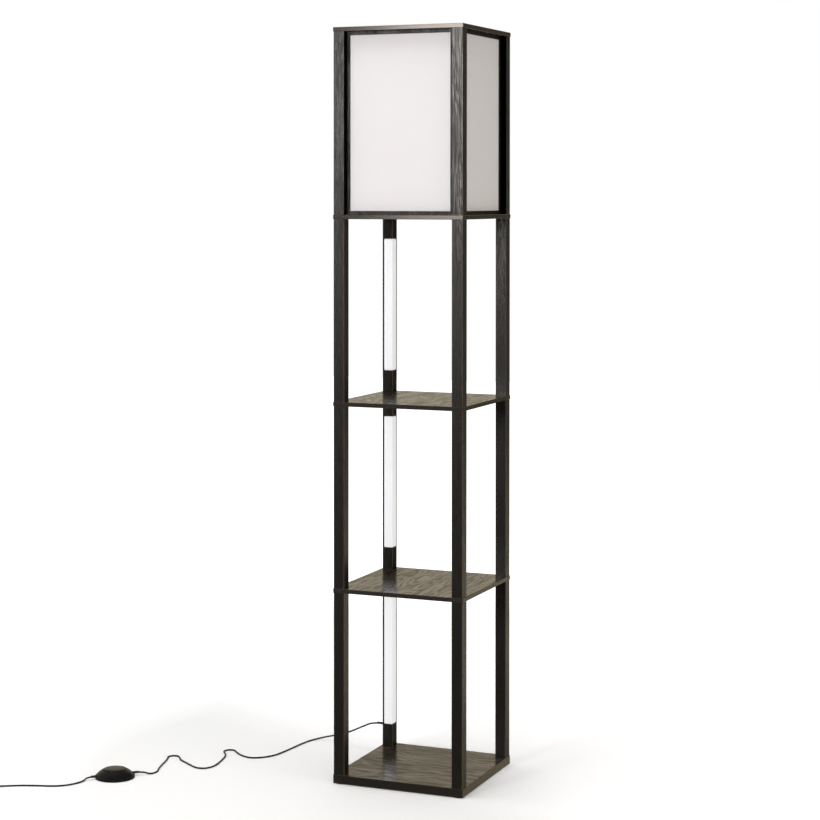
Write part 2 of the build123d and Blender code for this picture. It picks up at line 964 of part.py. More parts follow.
def make_switch_spring():
    with BuildPart() as spring:
        with BuildLine() as path:
            wind(spring_place, spring_turns)
        with BuildSketch(Plane(origin=path.wire() @ 0, z_dir=path.wire() % 0)):
            Circle(spring_wire / 2)
        sweep(path=path.wire())
    print("switch_spring least gap", round(least_gap(spring_place, spring_turns, spring_wire), 2))
    write(spring.part, "switch_spring")


def make_switch_bushings():
    """Two small rubber sleeves where the cord goes in and out of the switch."""
    with BuildPart() as bushings:
        for side in (-1, 1):
            sleeve = Plane(
                origin=on_switch(side * port_start, 0, port_height), z_dir=switch_plane.x_dir * side
            )
            length = switch_bushing_reach - port_start
            with Locations(sleeve):
                Cone(switch_bushing_root, switch_bushing_tip, length, align=stand)
                Cylinder(cord_radius + slack, length, align=stand, mode=Mode.SUBTRACT)
    write(bushings.part, "switch_bushings")


floor_z = cord_radius + cord_off_floor


def on_floor(*places):
    """Route points where the cord lies on the floor."""
    return [(x, y, floor_z) for x, y in places]


def make_cord_to_switch():
    """From the lamp's bushing down to the floor and along it, in the loose waves of the photograph."""
    port = (block_reach + block_gap, 0, port_height)
    route = [
        (-post_outer + cord_in_bushing, wire_y, exit_z),
        (-174.0, wire_y, exit_z),
        (-198.0, 139.0, 50.7),
        (-228.0, 146.0, 35.5),
        (-264.0, 159.0, 19.8),
        (-298.0, 172.0, 10.1),
        (-322.0, 172.0, 2.8),
    ]
    route += on_floor(
        (-335.0, 147.5),
        (-340.0, 112.0),
        (-343.0, 74.0),
        (-347.0, 37.0),
        (-352.0, 4.0),
        (-366.0, -20.0),
        (-388.0, -36.0),
        (-410.0, -31.5),
        (-429.0, -18.0),
        (-443.0, -4.0),
        (-452.5, 8.0),
        (-466.0, 7.0),
        (-472.5, -5.0),
        (-466.0, -17.0),
        (-450.0, -39.0),
        (-441.5, -75.5),
        (-436.0, -106.0),
        (-434.5, -130.0),
        (-441.0, -148.0),
        (-453.5, -155.5),
        (-469.5, -151.0),
        (-485.0, -140.0),
        (-504.0, -125.0),
        (-523.5, -112.0),
        (-535.0, -96.5),
        (-543.0, -85.0),
        (-557.0, -85.5),
        (-563.5, -98.0),
        (-556.5, -110.0),
        (-549.0, -136.0),
        (-541.5, -168.0),
        (-534.5, -192.5),
        (-524.0, -216.0),
        (-531.5, -237.0),
    )
    route += [tuple(on_switch(port[0] + 27.5, 0, port_height)), tuple(on_switch(*port))]
    make_tube("cord_to_switch", route, fillet_radii(route))


def coil_place(turn):
    """The coil's centre line: in towards the middle on the floor, up a layer, and out again on top."""
    radius = coil_radius - coil_step * min(turn, coil_turns - turn)
    low = tie_thick + tie_gap + cord_off_floor + cord_radius
    share = (turn - (coil_turns - climb_turns) / 2) / climb_turns
    climb = (1 - math.cos(math.pi * min(1, max(0, share)))) / 2
    angle = math.radians(coil_start + 360 * turn)
    return Vector(
        coil_x + radius * math.cos(angle),
        coil_y + radius * math.sin(angle),
        low + coil_step * climb,
    )


coil_in = coil_place(0) - heading_of(coil_place, 0) * (2 * cord_radius)
coil_out = coil_place(coil_turns) + heading_of(coil_place, coil_turns) * (2 * cord_radius)


def make_cord_from_switch():
    """From the switch on along the floor, out of the photograph and to the coil."""
    port = (-block_reach - block_gap, 0, port_height)
    before_coil = coil_in - heading_of(coil_place, 0) * 30
    route = [
        tuple(on_switch(*port)),
        tuple(on_switch(port[0] - 27.3, 0, port_height)),
        (-632.5, -337.0, 2.4),
        *on_floor(
            (-636.0, -358.0),
            (-649.0, -382.0),
            (-671.0, -398.0),
            (-703.0, -407.0),
            (-736.0, -419.0),
        ),
        tuple(before_coil),
        tuple(coil_in),
    ]
    make_tube("cord_from_switch", route, fillet_radii(route))


def make_coil():
    """The put-away length, wound in two layers as one unbroken tube."""
    with BuildPart() as coil:
        with BuildLine() as path:
            Line(coil_in, coil_place(0))
            wind(coil_place, coil_turns)
            Line(coil_place(coil_turns), coil_out)
        with BuildSketch(Plane(origin=path.wire() @ 0, z_dir=path.wire() % 0)):
            Circle(cord_radius)
        sweep(path=path.wire())
    gap = least_gap(coil_place, coil_turns, 2 * cord_radius)
    expected = math.pi * cord_radius**2 * path.wire().length
    print("cord_coil length", round(path.wire().length, 1), "least gap", round(gap, 2))
    print("cord_coil volume share", coil.part.volume / expected)
    write(coil.part, "cord_coil")


def make_coil_tie():
    """Band round the bundle of turns, on the side of the coil away from its ends."""
    angle = math.radians(coil_start + 180)
    outward = Vector(math.cos(angle), math.sin(angle), 0)
    innermost = coil_radius - coil_step * coil_turns / 2 - cord_radius - tie_gap
    outermost = coil_radius + cord_radius + tie_gap
    bundle_low = coil_place(0).Z - cord_radius - tie_gap
    bundle_high = coil_place(coil_turns).Z + cord_radius + tie_gap
    middle = Vector(coil_x, coil_y, (bundle_low + bundle_high) / 2)
    section = Plane(
        origin=middle + outward * ((innermost + outermost) / 2),
        x_dir=outward,
        z_dir=Vector(0, 0, 1).cross(outward),
    )
    width = outermost - innermost
    height = bundle_high - bundle_low
    with BuildPart() as tie:
        with BuildSketch(section):
            RectangleRounded(width + 2 * tie_thick, height + 2 * tie_thick, 1.5)
            RectangleRounded(width, height, 1.0, mode=Mode.SUBTRACT)
        extrude(amount=tie_width / 2, both=True)
    write(tie.part, "coil_tie")


plug_heading = heading_of(coil_place, coil_turns)
plug_start = Plane(origin=coil_out, x_dir=(-plug_heading.Y, plug_heading.X, 0), z_dir=plug_heading)
plug_half_thick = coil_out.Z - cord_off_floor


def make_plug_body():
    """Two-pin plug that lies flat, with a tapered neck round the cord's end."""
    with BuildPart() as plug:
        with Locations(plug_start):
            Cone(cord_radius + 0.4, plug_neck_radius, plug_neck, align=stand)
        with BuildSketch(plug_start.offset(plug_neck)):
            RectangleRounded(plug_width, 2 * plug_half_thick, plug_round)
        extrude(amount=plug_length)
        fillet(plug.faces().sort_by(Axis(coil_out, plug_heading))[-1].edges(), 1.2)
        with Locations(plug_start.offset(plug_neck + plug_length - 4)):
            with Locations((-blade_spacing / 2, 0), (blade_spacing / 2, 0)):
                Box(blade_thick + 0.1, blade_width + 0.1, 4, align=stand, mode=Mode.SUBTRACT)
    write(plug.part, "plug_body")


def make_plug_blades():
    with BuildPart() as blades:
        with Locations(plug_start.offset(plug_neck + plug_length - 4)):
            with Locations((-blade_spacing / 2, 0), (blade_spacing / 2, 0)):
                Box(blade_thick, blade_width, blade_length + 4, align=stand)
    write(blades.part, "plug_blades")


make_base_board()
make_shelf("lower_shelf", lower_low)
make_shelf("middle_shelf", middle_low)
make_shade_floor()
make_top_frame()

for tier, tier_low in tiers.items():
    for corner, (corner_x, corner_y) in corners.items():
        if corner != "rear_left" or tier == "shade":
            make_post(f"{tier}_post_{corner}", corner_x, corner_y, tier_low)
    if tier != "shade":
        make_light_post(f"{tier}_light_post", tier_low, with_entry=tier == "bottom")
        make_diffuser(f"{tier}_light_diffuser", tier_low)
        make_light_strip(f"{tier}_light_strip", tier_low)

for side_number, side_name in enumerate(("front", "right", "rear", "left")):
    make_shade_frame(f"shade_frame_{side_name}", side_number)
    make_shade_panel(f"shade_panel_{side_name}", side_number)

make_inserts()
make_studs()
make_board_bolts()
make_foot_pads()
make_holder_cup()
make_holder_screws()
make_socket()
make_bulb_cap()
make_bulb_globe()
make_inner_cable()
make_cord_bushing()
make_switch_base()
make_switch_cover()
make_switch_button()
make_switch_block()
make_switch_spring()
make_switch_screws()
make_switch_feet()
make_switch_bushings()
make_cord_to_switch()
make_cord_from_switch()
make_coil()
make_coil_tie()
make_plug_body()
make_plug_blades()
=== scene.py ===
# %% [markdown]
# # A square shelf floor lamp
# The lamp is four tiers of dark square posts between thin boards. The top tier is a box shade with pale
# linen sides, each open tier has a white light bar in its rear left post, and a thin cord leads to a foot
# switch. The solids come in ready made and in their places, in metres, so this lesson adds what they lack:
# finishes, cloth, the smooth line of the cord, and the small turned and moulded pieces.

import math

import bmesh
import bpy
from mathutils import Matrix, Vector, noise


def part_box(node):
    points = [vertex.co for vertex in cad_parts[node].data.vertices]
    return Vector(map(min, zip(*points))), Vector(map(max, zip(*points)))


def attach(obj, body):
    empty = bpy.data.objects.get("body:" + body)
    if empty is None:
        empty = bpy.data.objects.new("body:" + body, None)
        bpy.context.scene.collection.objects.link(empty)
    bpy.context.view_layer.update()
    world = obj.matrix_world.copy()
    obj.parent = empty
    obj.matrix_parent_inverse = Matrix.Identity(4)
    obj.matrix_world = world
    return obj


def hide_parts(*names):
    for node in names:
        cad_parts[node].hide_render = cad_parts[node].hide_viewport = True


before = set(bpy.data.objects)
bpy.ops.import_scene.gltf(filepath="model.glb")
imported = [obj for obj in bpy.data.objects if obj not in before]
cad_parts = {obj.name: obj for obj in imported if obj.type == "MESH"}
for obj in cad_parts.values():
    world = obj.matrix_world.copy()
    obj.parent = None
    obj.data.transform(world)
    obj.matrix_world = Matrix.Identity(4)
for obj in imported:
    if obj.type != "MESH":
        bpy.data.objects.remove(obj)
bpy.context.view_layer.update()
MM = 0.001

# %% [markdown]
# ## Camera
# The photograph was taken from the front right at about three quarters of the lamp's height, with a long
# lens. The lamp isn't in the middle of the frame, so the lens is shifted instead of turned: shifting keeps
# the upright posts upright, as a product photographer's camera does.

# %% Set up the camera
lens_data = bpy.data.cameras.new("photo_view")
lens_data.sensor_width = 36.0
lens_data.lens = 93.40
lens_data.shift_x = 0.0488
lens_data.shift_y = -0.2213
lens_data.clip_end = 60.0
photo_view = bpy.data.objects.new("photo_view", lens_data)
photo_view.location = (1.673857, -4.195982, 1.235228)
photo_view.rotation_euler = (math.pi / 2 - 0.01609, 0, 0.40459)
bpy.context.scene.collection.objects.link(photo_view)
bpy.context.scene.camera = photo_view
bpy.context.scene.view_settings.view_transform = "Standard"

# %% [markdown]
# ## Route of the cord
# A cord could be drawn as a tube with bends, but a real one has no straight runs. A NURBS curve of order 3
# passes near its control points in one smooth line, so the points say where the cord goes and the curve
# makes it limp. The first stretch sags from the rear left post to the floor, then waves to the foot switch.

# %% Points of the first stretch, from the lamp to the switch
CORD_DIAMETER = 3.6 * MM
ON_FLOOR = 1.9
to_switch = [
    (-143.0, 137.4, 62.0),
    (-174.0, 137.4, 62.0),
    (-198.0, 139.0, 50.7),
    (-228.0, 146.0, 35.5),
    (-264.0, 159.0, 19.8),
    (-298.0, 172.0, 10.1),
    (-322.0, 172.0, 2.8),
    (-335.0, 147.5, ON_FLOOR),
    (-340.0, 112.0, ON_FLOOR),
    (-343.0, 74.0, ON_FLOOR),
    (-347.0, 37.0, ON_FLOOR),
    (-352.0, 4.0, ON_FLOOR),
    (-366.0, -20.0, ON_FLOOR),
    (-388.0, -36.0, ON_FLOOR),
    (-410.0, -31.5, ON_FLOOR),
    (-429.0, -18.0, ON_FLOOR),
    (-443.0, -4.0, ON_FLOOR),
    (-452.5, 8.0, ON_FLOOR),
    (-466.0, 7.0, ON_FLOOR),
    (-472.5, -5.0, ON_FLOOR),
    (-466.0, -17.0, ON_FLOOR),
    (-450.0, -39.0, ON_FLOOR),
    (-441.5, -75.5, ON_FLOOR),
    (-436.0, -106.0, ON_FLOOR),
    (-434.5, -130.0, ON_FLOOR),
    (-441.0, -148.0, ON_FLOOR),
    (-453.5, -155.5, ON_FLOOR),
    (-469.5, -151.0, ON_FLOOR),
    (-485.0, -140.0, ON_FLOOR),
    (-504.0, -125.0, ON_FLOOR),
    (-523.5, -112.0, ON_FLOOR),
    (-535.0, -96.5, ON_FLOOR),
    (-543.0, -85.0, ON_FLOOR),
    (-557.0, -85.5, ON_FLOOR),
    (-563.5, -98.0, ON_FLOOR),
    (-556.5, -110.0, ON_FLOOR),
    (-549.0, -136.0, ON_FLOOR),
    (-541.5, -168.0, ON_FLOOR),
    (-534.5, -192.5, ON_FLOOR),
    (-524.0, -216.0, ON_FLOOR),
    (-531.5, -237.0, ON_FLOOR),
]

# %% The switch's place, and the two ends of cord inside it
SWITCH = Vector((-589.3, -283.3, 0.0))
SWITCH_TURN = math.radians(45.0)
PORT_HEIGHT = 6.6
PORT_REACH = 33.2


def by_switch(along, across, height):
    """A point given in the switch's own directions, in millimetres."""
    turned = Matrix.Rotation(SWITCH_TURN, 3, "Z") @ Vector((along, across, height))
    return tuple(SWITCH + turned)


to_switch += [by_switch(PORT_REACH + 27.5, 0, PORT_HEIGHT), by_switch(PORT_REACH, 0, PORT_HEIGHT)]
print("points to the switch", len(to_switch))

# %% [markdown]
# ## The put-away coil
# The second stretch leaves the photograph and ends in a plug. The length that isn't seen is wound up as for
# storage: it spirals in on the floor, climbs one layer in half a turn and spirals out again on top. Drawing
# the turns by hand would be slow and uneven, so a short formula gives sixteen points for each turn.

# %% Points of the second stretch, from the switch to the plug
COIL_CENTRE = Vector((-787.0, -485.0, 0.0))
COIL_START = 122.7
COIL_RADIUS = 26.0
COIL_STEP = 4.15
COIL_TURNS = 5.25
COIL_LOW = 2.65
POINTS_A_TURN = 16
CORNER_CUT = 0.981


def coil_place(turn, outset=1.0):
    """Where the winding is after a number of turns; outset widens it for the curve's corner cutting."""
    radius = (COIL_RADIUS - COIL_STEP * min(turn, COIL_TURNS - turn)) / outset
    share = min(1, max(0, (turn - (COIL_TURNS - 0.5) / 2) / 0.5))
    angle = math.radians(COIL_START + 360 * turn)
    rise = COIL_STEP * (1 - math.cos(math.pi * share)) / 2
    flat = Vector((math.cos(angle), math.sin(angle), 0)) * radius
    return COIL_CENTRE + flat + Vector((0, 0, COIL_LOW + rise))


def coil_heading(turn):
    return (coil_place(turn + 0.001) - coil_place(turn - 0.001)).normalized()


coil_in = coil_place(0) - coil_heading(0) * 3.6
coil_out = coil_place(COIL_TURNS) + coil_heading(COIL_TURNS) * 3.6
from_switch = [
    by_switch(-PORT_REACH, 0, PORT_HEIGHT),
    by_switch(-PORT_REACH - 27.3, 0, PORT_HEIGHT),
    (-632.5, -337.0, 2.4),
    (-636.0, -358.0, ON_FLOOR),
    (-649.0, -382.0, ON_FLOOR),
    (-671.0, -398.0, ON_FLOOR),
    (-703.0, -407.0, ON_FLOOR),
    (-736.0, -419.0, ON_FLOOR),
    tuple(coil_in - coil_heading(0) * 30),
    tuple(coil_in),
]
turn_count = int(COIL_TURNS * POINTS_A_TURN)
from_switch += [
    tuple(coil_place((number + 0.5) / POINTS_A_TURN, CORNER_CUT)) for number in range(turn_count)
]
from_switch += [tuple(coil_place(COIL_TURNS)), tuple(coil_out)]
print("points to the plug", len(from_switch))

# %% Make the two cords


def make_cord(name, points):
    """A round cord along one NURBS spline of order 3 that starts and ends at its end points.

    The tube is bevel_depth times each point's radius thick, and the points carry the size because a curve's
    box is drawn round its points' radii.
    """
    line = bpy.data.curves.new(name, "CURVE")
    line.dimensions = "3D"
    spline = line.splines.new("NURBS")
    spline.points.add(len(points) - 1)
    for slot, point in zip(spline.points, points):
        slot.co = (*(Vector(point) * MM), 1.0)
        slot.radius = CORD_DIAMETER / 2
    spline.order_u = 3
    spline.use_endpoint_u = True
    spline.resolution_u = 8
    line.bevel_depth = 1.0
    line.bevel_resolution = 4
    line.use_fill_caps = True
    piece = bpy.data.objects.new(name, line)
    bpy.context.scene.collection.objects.link(piece)
    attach(piece, "lamp")
    return piece


lamp_cord = make_cord("lamp_cord", to_switch)
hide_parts("cord_to_switch")
plug_cord = make_cord("plug_cord", from_switch)
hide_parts("cord_from_switch", "cord_coil")

# %% [markdown]
# ## Studio
# A product photograph on white has a big soft lamp, a bright room and a floor that fades into the wall.
# The floor and the wall are made white only for the rays that look at them, with Light Path, so that they
# don't flood the lamp with light. The wall behind the lamp is white in reflections too, and the room on the
# photographer's side is dim: that is why the glossy shelves turn pale while the posts stay nearly black.

# %% Small helpers for shader nodes


def add(tree, kind, values=None, **settings):
    """Adds a shader node, sets its properties and fills its sockets by name or number."""
    made = tree.nodes.new(kind)
    for name, value in settings.items():
        setattr(made, name, value)
    for name, value in (values or {}).items():
        socket = made.inputs[name]
        if isinstance(value, bpy.types.NodeSocket):
            tree.links.new(value, socket)
        else:
            socket.default_value = value
    return made


def empty_tree(owner):
    """Makes a world's or a material's node tree ready for nodes of its own."""
    owner.use_nodes = True
    owner.node_tree.nodes.clear()
    return owner.node_tree


def maths(tree, operation, *values):
    """A sum, product or the like of numbers."""
    return add(tree, "ShaderNodeMath", dict(enumerate(values)), operation=operation).outputs[0]


def vectors(tree, operation, *values):
    """The same for places and headings."""
    made = add(tree, "ShaderNodeVectorMath", dict(enumerate(values)), operation=operation)
    return made.outputs["Value" if operation in ("DOT_PRODUCT", "LENGTH", "DISTANCE") else 0]


def ramp(tree, value, *ends, soft=False):
    """Turns one range of numbers into another: from low and high, and to low and high."""
    values = {0: value, **dict(enumerate(ends, 1))}
    kind = "SMOOTHSTEP" if soft else "LINEAR"
    return add(tree, "ShaderNodeMapRange", values, interpolation_type=kind).outputs[0]


def mix(tree, share, first, second):
    """The first number where share is 0, the second where it is 1."""
    return add(tree, "ShaderNodeMix", {0: share, 2: first, 3: second}).outputs[0]


def blend(tree, share, first, second, **settings):
    """The same for colours."""
    values = {0: share, 6: first, 7: second}
    return add(tree, "ShaderNodeMix", values, data_type="RGBA", **settings).outputs[2]


def plain_sight(tree, path):
    """1 for rays that look at a surface straight on or through glass."""
    return maths(tree, "MAXIMUM", path.outputs["Is Camera Ray"], path.outputs["Is Transmission Ray"])


# %% The wall as glossy faces see it
WHITE = (1.0, 1.0, 1.0, 1.0)
DIM_SIDE = 0.13
WALL_FOOT = 0.58
WALL_LEVEL = 0.77
WALL_TINT = (1.0, 0.89, 0.68, 1.0)
WALL_WAY = (-0.9, 0.43, 0.0)
FOOT_RISE, LEVEL_RISE = 0.08, 0.19
DIM_TURN, WALL_TURN = 0.12, 0.55


def wall_white(tree, heading):
    """White towards the wall at the back left, more so higher up, and dim on the other side of the room."""
    flat = vectors(tree, "NORMALIZE", vectors(tree, "MULTIPLY", heading, (1.0, 1.0, 0.0)))
    toward_wall = vectors(tree, "DOT_PRODUCT", flat, WALL_WAY)
    steep = add(tree, "ShaderNodeSeparateXYZ", {0: vectors(tree, "NORMALIZE", heading)})
    wall = ramp(tree, steep.outputs["Z"], FOOT_RISE, LEVEL_RISE, WALL_FOOT, WALL_LEVEL)
    return ramp(tree, toward_wall, DIM_TURN, WALL_TURN, DIM_SIDE, wall, soft=True)


# %% Room light
AMBIENT = 0.36
room = bpy.data.worlds.new("white_room")
bpy.context.scene.world = room
tree = empty_tree(room)
path = add(tree, "ShaderNodeLightPath")
glossy = path.outputs["Is Glossy Ray"]
heading = add(tree, "ShaderNodeTexCoord").outputs["Generated"]
level = mix(tree, glossy, AMBIENT, wall_white(tree, heading))
level = mix(tree, plain_sight(tree, path), level, 1.0)
tint = blend(tree, glossy, WHITE, WALL_TINT)
glow = add(tree, "ShaderNodeBackground", {"Color": tint, "Strength": level})
add(tree, "ShaderNodeOutputWorld", {"Surface": glow.outputs[0]})

# %% [markdown]
# A real sweep of white paper is overexposed except close to the object. The floor does the same: what the
# lamps give it keeps the shadow, and a lift is added that is least in front of the lamp, more behind it,
# and full white from about two metres on. Glossy faces see a bright patch of floor behind the lamp instead.

# %% Floor
FLOOR_HALF = 9.0
FLOOR_SHARE = 0.88
LIFT_FRONT, LIFT_BEHIND, LIFT_FAR = 0.08, 0.34, 0.42
LIFT_START, WHITE_START, WHITE_END = 0.5, 1.2, 2.4
BEHIND_WAY = (0.62, 1.0, 0.0)
PAST_START, PAST_END = -0.2, 0.28
PATCH_LEVEL = 0.60
PATCH_MIDDLE = (0.9, 2.2, 0.0)
PATCH_START, PATCH_END = 1.2, 3.4
floor_mesh = bmesh.new()
bmesh.ops.create_grid(floor_mesh, x_segments=1, y_segments=1, size=FLOOR_HALF)
floor_data = bpy.data.meshes.new("studio_floor")
floor_mesh.to_mesh(floor_data)
floor_mesh.free()
studio_floor = bpy.data.objects.new("studio_floor", floor_data)
bpy.context.scene.collection.objects.link(studio_floor)
floor_finish = bpy.data.materials.new("studio_floor")
tree = empty_tree(floor_finish)
path = add(tree, "ShaderNodeLightPath")
where = add(tree, "ShaderNodeTexCoord").outputs["Object"]
away = vectors(tree, "LENGTH", where)
past = vectors(tree, "DOT_PRODUCT", where, BEHIND_WAY)
lift = ramp(tree, away, LIFT_START, WHITE_START, 0.0, LIFT_FAR, soft=True)
behind = ramp(tree, past, PAST_START, PAST_END, LIFT_FRONT, LIFT_BEHIND, soft=True)
lift = maths(tree, "MAXIMUM", lift, behind)
lift = maths(tree, "MAXIMUM", lift, ramp(tree, away, WHITE_START, WHITE_END, 0.0, 1.0, soft=True))
lift = maths(tree, "MULTIPLY", lift, plain_sight(tree, path))
matte = add(tree, "ShaderNodeBsdfDiffuse", {"Color": (FLOOR_SHARE, FLOOR_SHARE, FLOOR_SHARE, 1.0)})
glow = add(tree, "ShaderNodeEmission", {"Color": WHITE, "Strength": lift})
seen = add(tree, "ShaderNodeAddShader", {0: matte.outputs[0], 1: glow.outputs[0]})
from_patch = vectors(tree, "DISTANCE", where, PATCH_MIDDLE)
patch = ramp(tree, from_patch, PATCH_START, PATCH_END, PATCH_LEVEL, 0.0, soft=True)
mirror_level = maths(tree, "MAXIMUM", patch, wall_white(tree, where))
mirrored = add(tree, "ShaderNodeEmission", {"Color": WALL_TINT, "Strength": mirror_level})
both = add(
    tree, "ShaderNodeMixShader",
    {0: path.outputs["Is Glossy Ray"], 1: seen.outputs[0], 2: mirrored.outputs[0]},
)
add(tree, "ShaderNodeOutputMaterial", {"Surface": both.outputs[0]})
floor_data.materials.append(floor_finish)

# %% [markdown]
# Four soft lamps light it: the key from the left of the camera, which is also the one that mirrors in the
# shade's posts, a low fill, a warm one on the right for the linen's shaded side, and one overhead.

# %% Lamps


def softbox(name, place, aim, size, power, tint, mirrored=True):
    """A rectangular soft lamp that points at a place; only the key shows as a highlight on glossy faces."""
    box_data = bpy.data.lights.new(name, "AREA")
    box_data.shape = "RECTANGLE"
    box_data.size, box_data.size_y = size
    box_data.energy = power
    box_data.color = tint
    box = bpy.data.objects.new(name, box_data)
    box.location = place
    box.rotation_euler = (Vector(aim) - Vector(place)).to_track_quat("-Z", "Y").to_euler()
    box.visible_glossy = mirrored
    bpy.context.scene.collection.objects.link(box)
    return box


softbox("key_softbox", (-1.12, -4.0, 1.80), (0.0, 0.0, 1.25), (0.9, 1.3), 46.0, (1.0, 0.955, 0.92))
for name, place_at, aim, size, power, tint in (
    ("low_fill", (1.9, -4.0, 0.9), (0.0, 0.0, 0.7), (2.0, 1.2), 32.0, (0.99, 0.985, 1.0)),
    ("right_fill", (3.2, -0.6, 1.5), (0.0, 0.0, 0.9), (1.6, 2.2), 15.5, (1.0, 0.82, 0.54)),
    ("top_softbox", (-0.3, -0.3, 3.3), (0.0, 0.0, 0.0), (1.5, 1.5), 62.0, (1.0, 1.0, 1.0)),
):
    softbox(name, place_at, aim, size, power, tint, mirrored=False)

# %% [markdown]
# ## Dark wood foil
# The boards and posts are pressed board under a printed, lightly embossed oak foil. A photograph of wood
# would repeat on every post, so the grain is made of noise stretched along the board: thin pores, wider
# pale and dark streaks, and a slow wander that bends them into arches. Object coordinates give each post
# its own stretch of the pattern, because every piece keeps its real place.

# %% [markdown]
# Not every face shows the foil's grain. The boards' narrow faces carry a smooth edge band, whose side faces
# are painted a paler brown than its front, painted light. The upright edges of a post get a thin brown
# painted highlight, and the faces that the shade's posts turn to the linen are painted shade, black. These
# are masks worked out from the coordinates, so the ready solids needn't be cut up.

# %% Masks for painted edge highlights and painted recess shade
POST_MIDDLE = 132.0 * MM
POST_HALF = 12.0 * MM
GLINT_FROM, GLINT_TO = 1.3 * MM, 0.6 * MM
RECESS_SHADE_DEPTH = 0.2 * MM


def way_out(tree, where, axis):
    """How far out a place is along X or Y from the lamp's middle."""
    split = add(tree, "ShaderNodeSeparateXYZ", {0: where})
    return maths(tree, "ABSOLUTE", split.outputs[axis])


def arris(tree, where, outer_only):
    """1 on a post's upright edges, where a brown painted highlight goes, or only on the one that points
    away from the middle.
    """
    offs = [maths(tree, "SUBTRACT", way_out(tree, where, axis), POST_MIDDLE) for axis in "XY"]
    if not outer_only:
        offs = [maths(tree, "ABSOLUTE", off) for off in offs]
    return ramp(tree, maths(tree, "MINIMUM", *offs), POST_HALF - GLINT_FROM, POST_HALF - GLINT_TO)


def painted_recess_shade(tree, where):
    """1 on the faces that the shade's posts turn to the linen, which are painted black as shade for the
    recess.
    """
    least = maths(tree, "MINIMUM", way_out(tree, where, "X"), way_out(tree, where, "Y"))
    return maths(tree, "LESS_THAN", least, POST_MIDDLE - POST_HALF + RECESS_SHADE_DEPTH)


# %% Helpers that every finish uses


def stretched(tree, at, scale):
    """Places made smaller along an axis, which draws a pattern out along it."""
    return add(tree, "ShaderNodeMapping", {"Vector": at, "Scale": scale}).outputs[0]


def speckle(tree, at, scale, detail, roughness=0.5, output="Fac"):
    """Soft noise; the scale is about its lumps to the metre."""
    values = {"Vector": at, "Scale": scale, "Detail": detail, "Roughness": roughness}
    return add(tree, "ShaderNodeTexNoise", values).outputs[output]


def bumps(tree, height, strength, distance):
    """Fine relief in the shading only; the distance is its depth in metres."""
    return add(
        tree, "ShaderNodeBump", {"Height": height, "Strength": strength, "Distance": distance}
    ).outputs[0]


def skin(tree, values):
    """The surface itself, joined to the material's output."""
    surface = add(tree, "ShaderNodeBsdfPrincipled", values)
    add(tree, "ShaderNodeOutputMaterial", {"Surface": surface.outputs[0]})


# %% Make the foil
SLOW_SHARE, PORE_SHARE = 0.16, 0.03
WANDER_SCALE, WANDER = 30.0, 5.0 * MM
ARCH_SCALE, RINGS, RING_SHARE = 0.13, 62.0, 0.045
PORE_SCALE, PORE_EDGE = 3.6, (0.37, 0.45)
PATCH_SCALE = 34.0
STREAK_SHARE, PATCH_SHARE, FINE_SHARE = 0.42, 0.20, 0.38
TONE_SPREAD = 0.115
PORE_DARK = (0.45, 0.44, 0.43, 1.0)
GRAIN_SHEEN = 0.5
BOARD_EDGE = 144.6 * MM
BAND_ROUGH, RECESS_SHADE_ROUGH = 0.15, 0.9
EDGE_GLINT_BROWN = (0.085, 0.058, 0.030, 1.0)
RECESS_SHADE_BLACK = (0.001, 0.001, 0.001, 1.0)
PORE_RELIEF, RELIEF_DEPTH = 0.6, 0.12 * MM


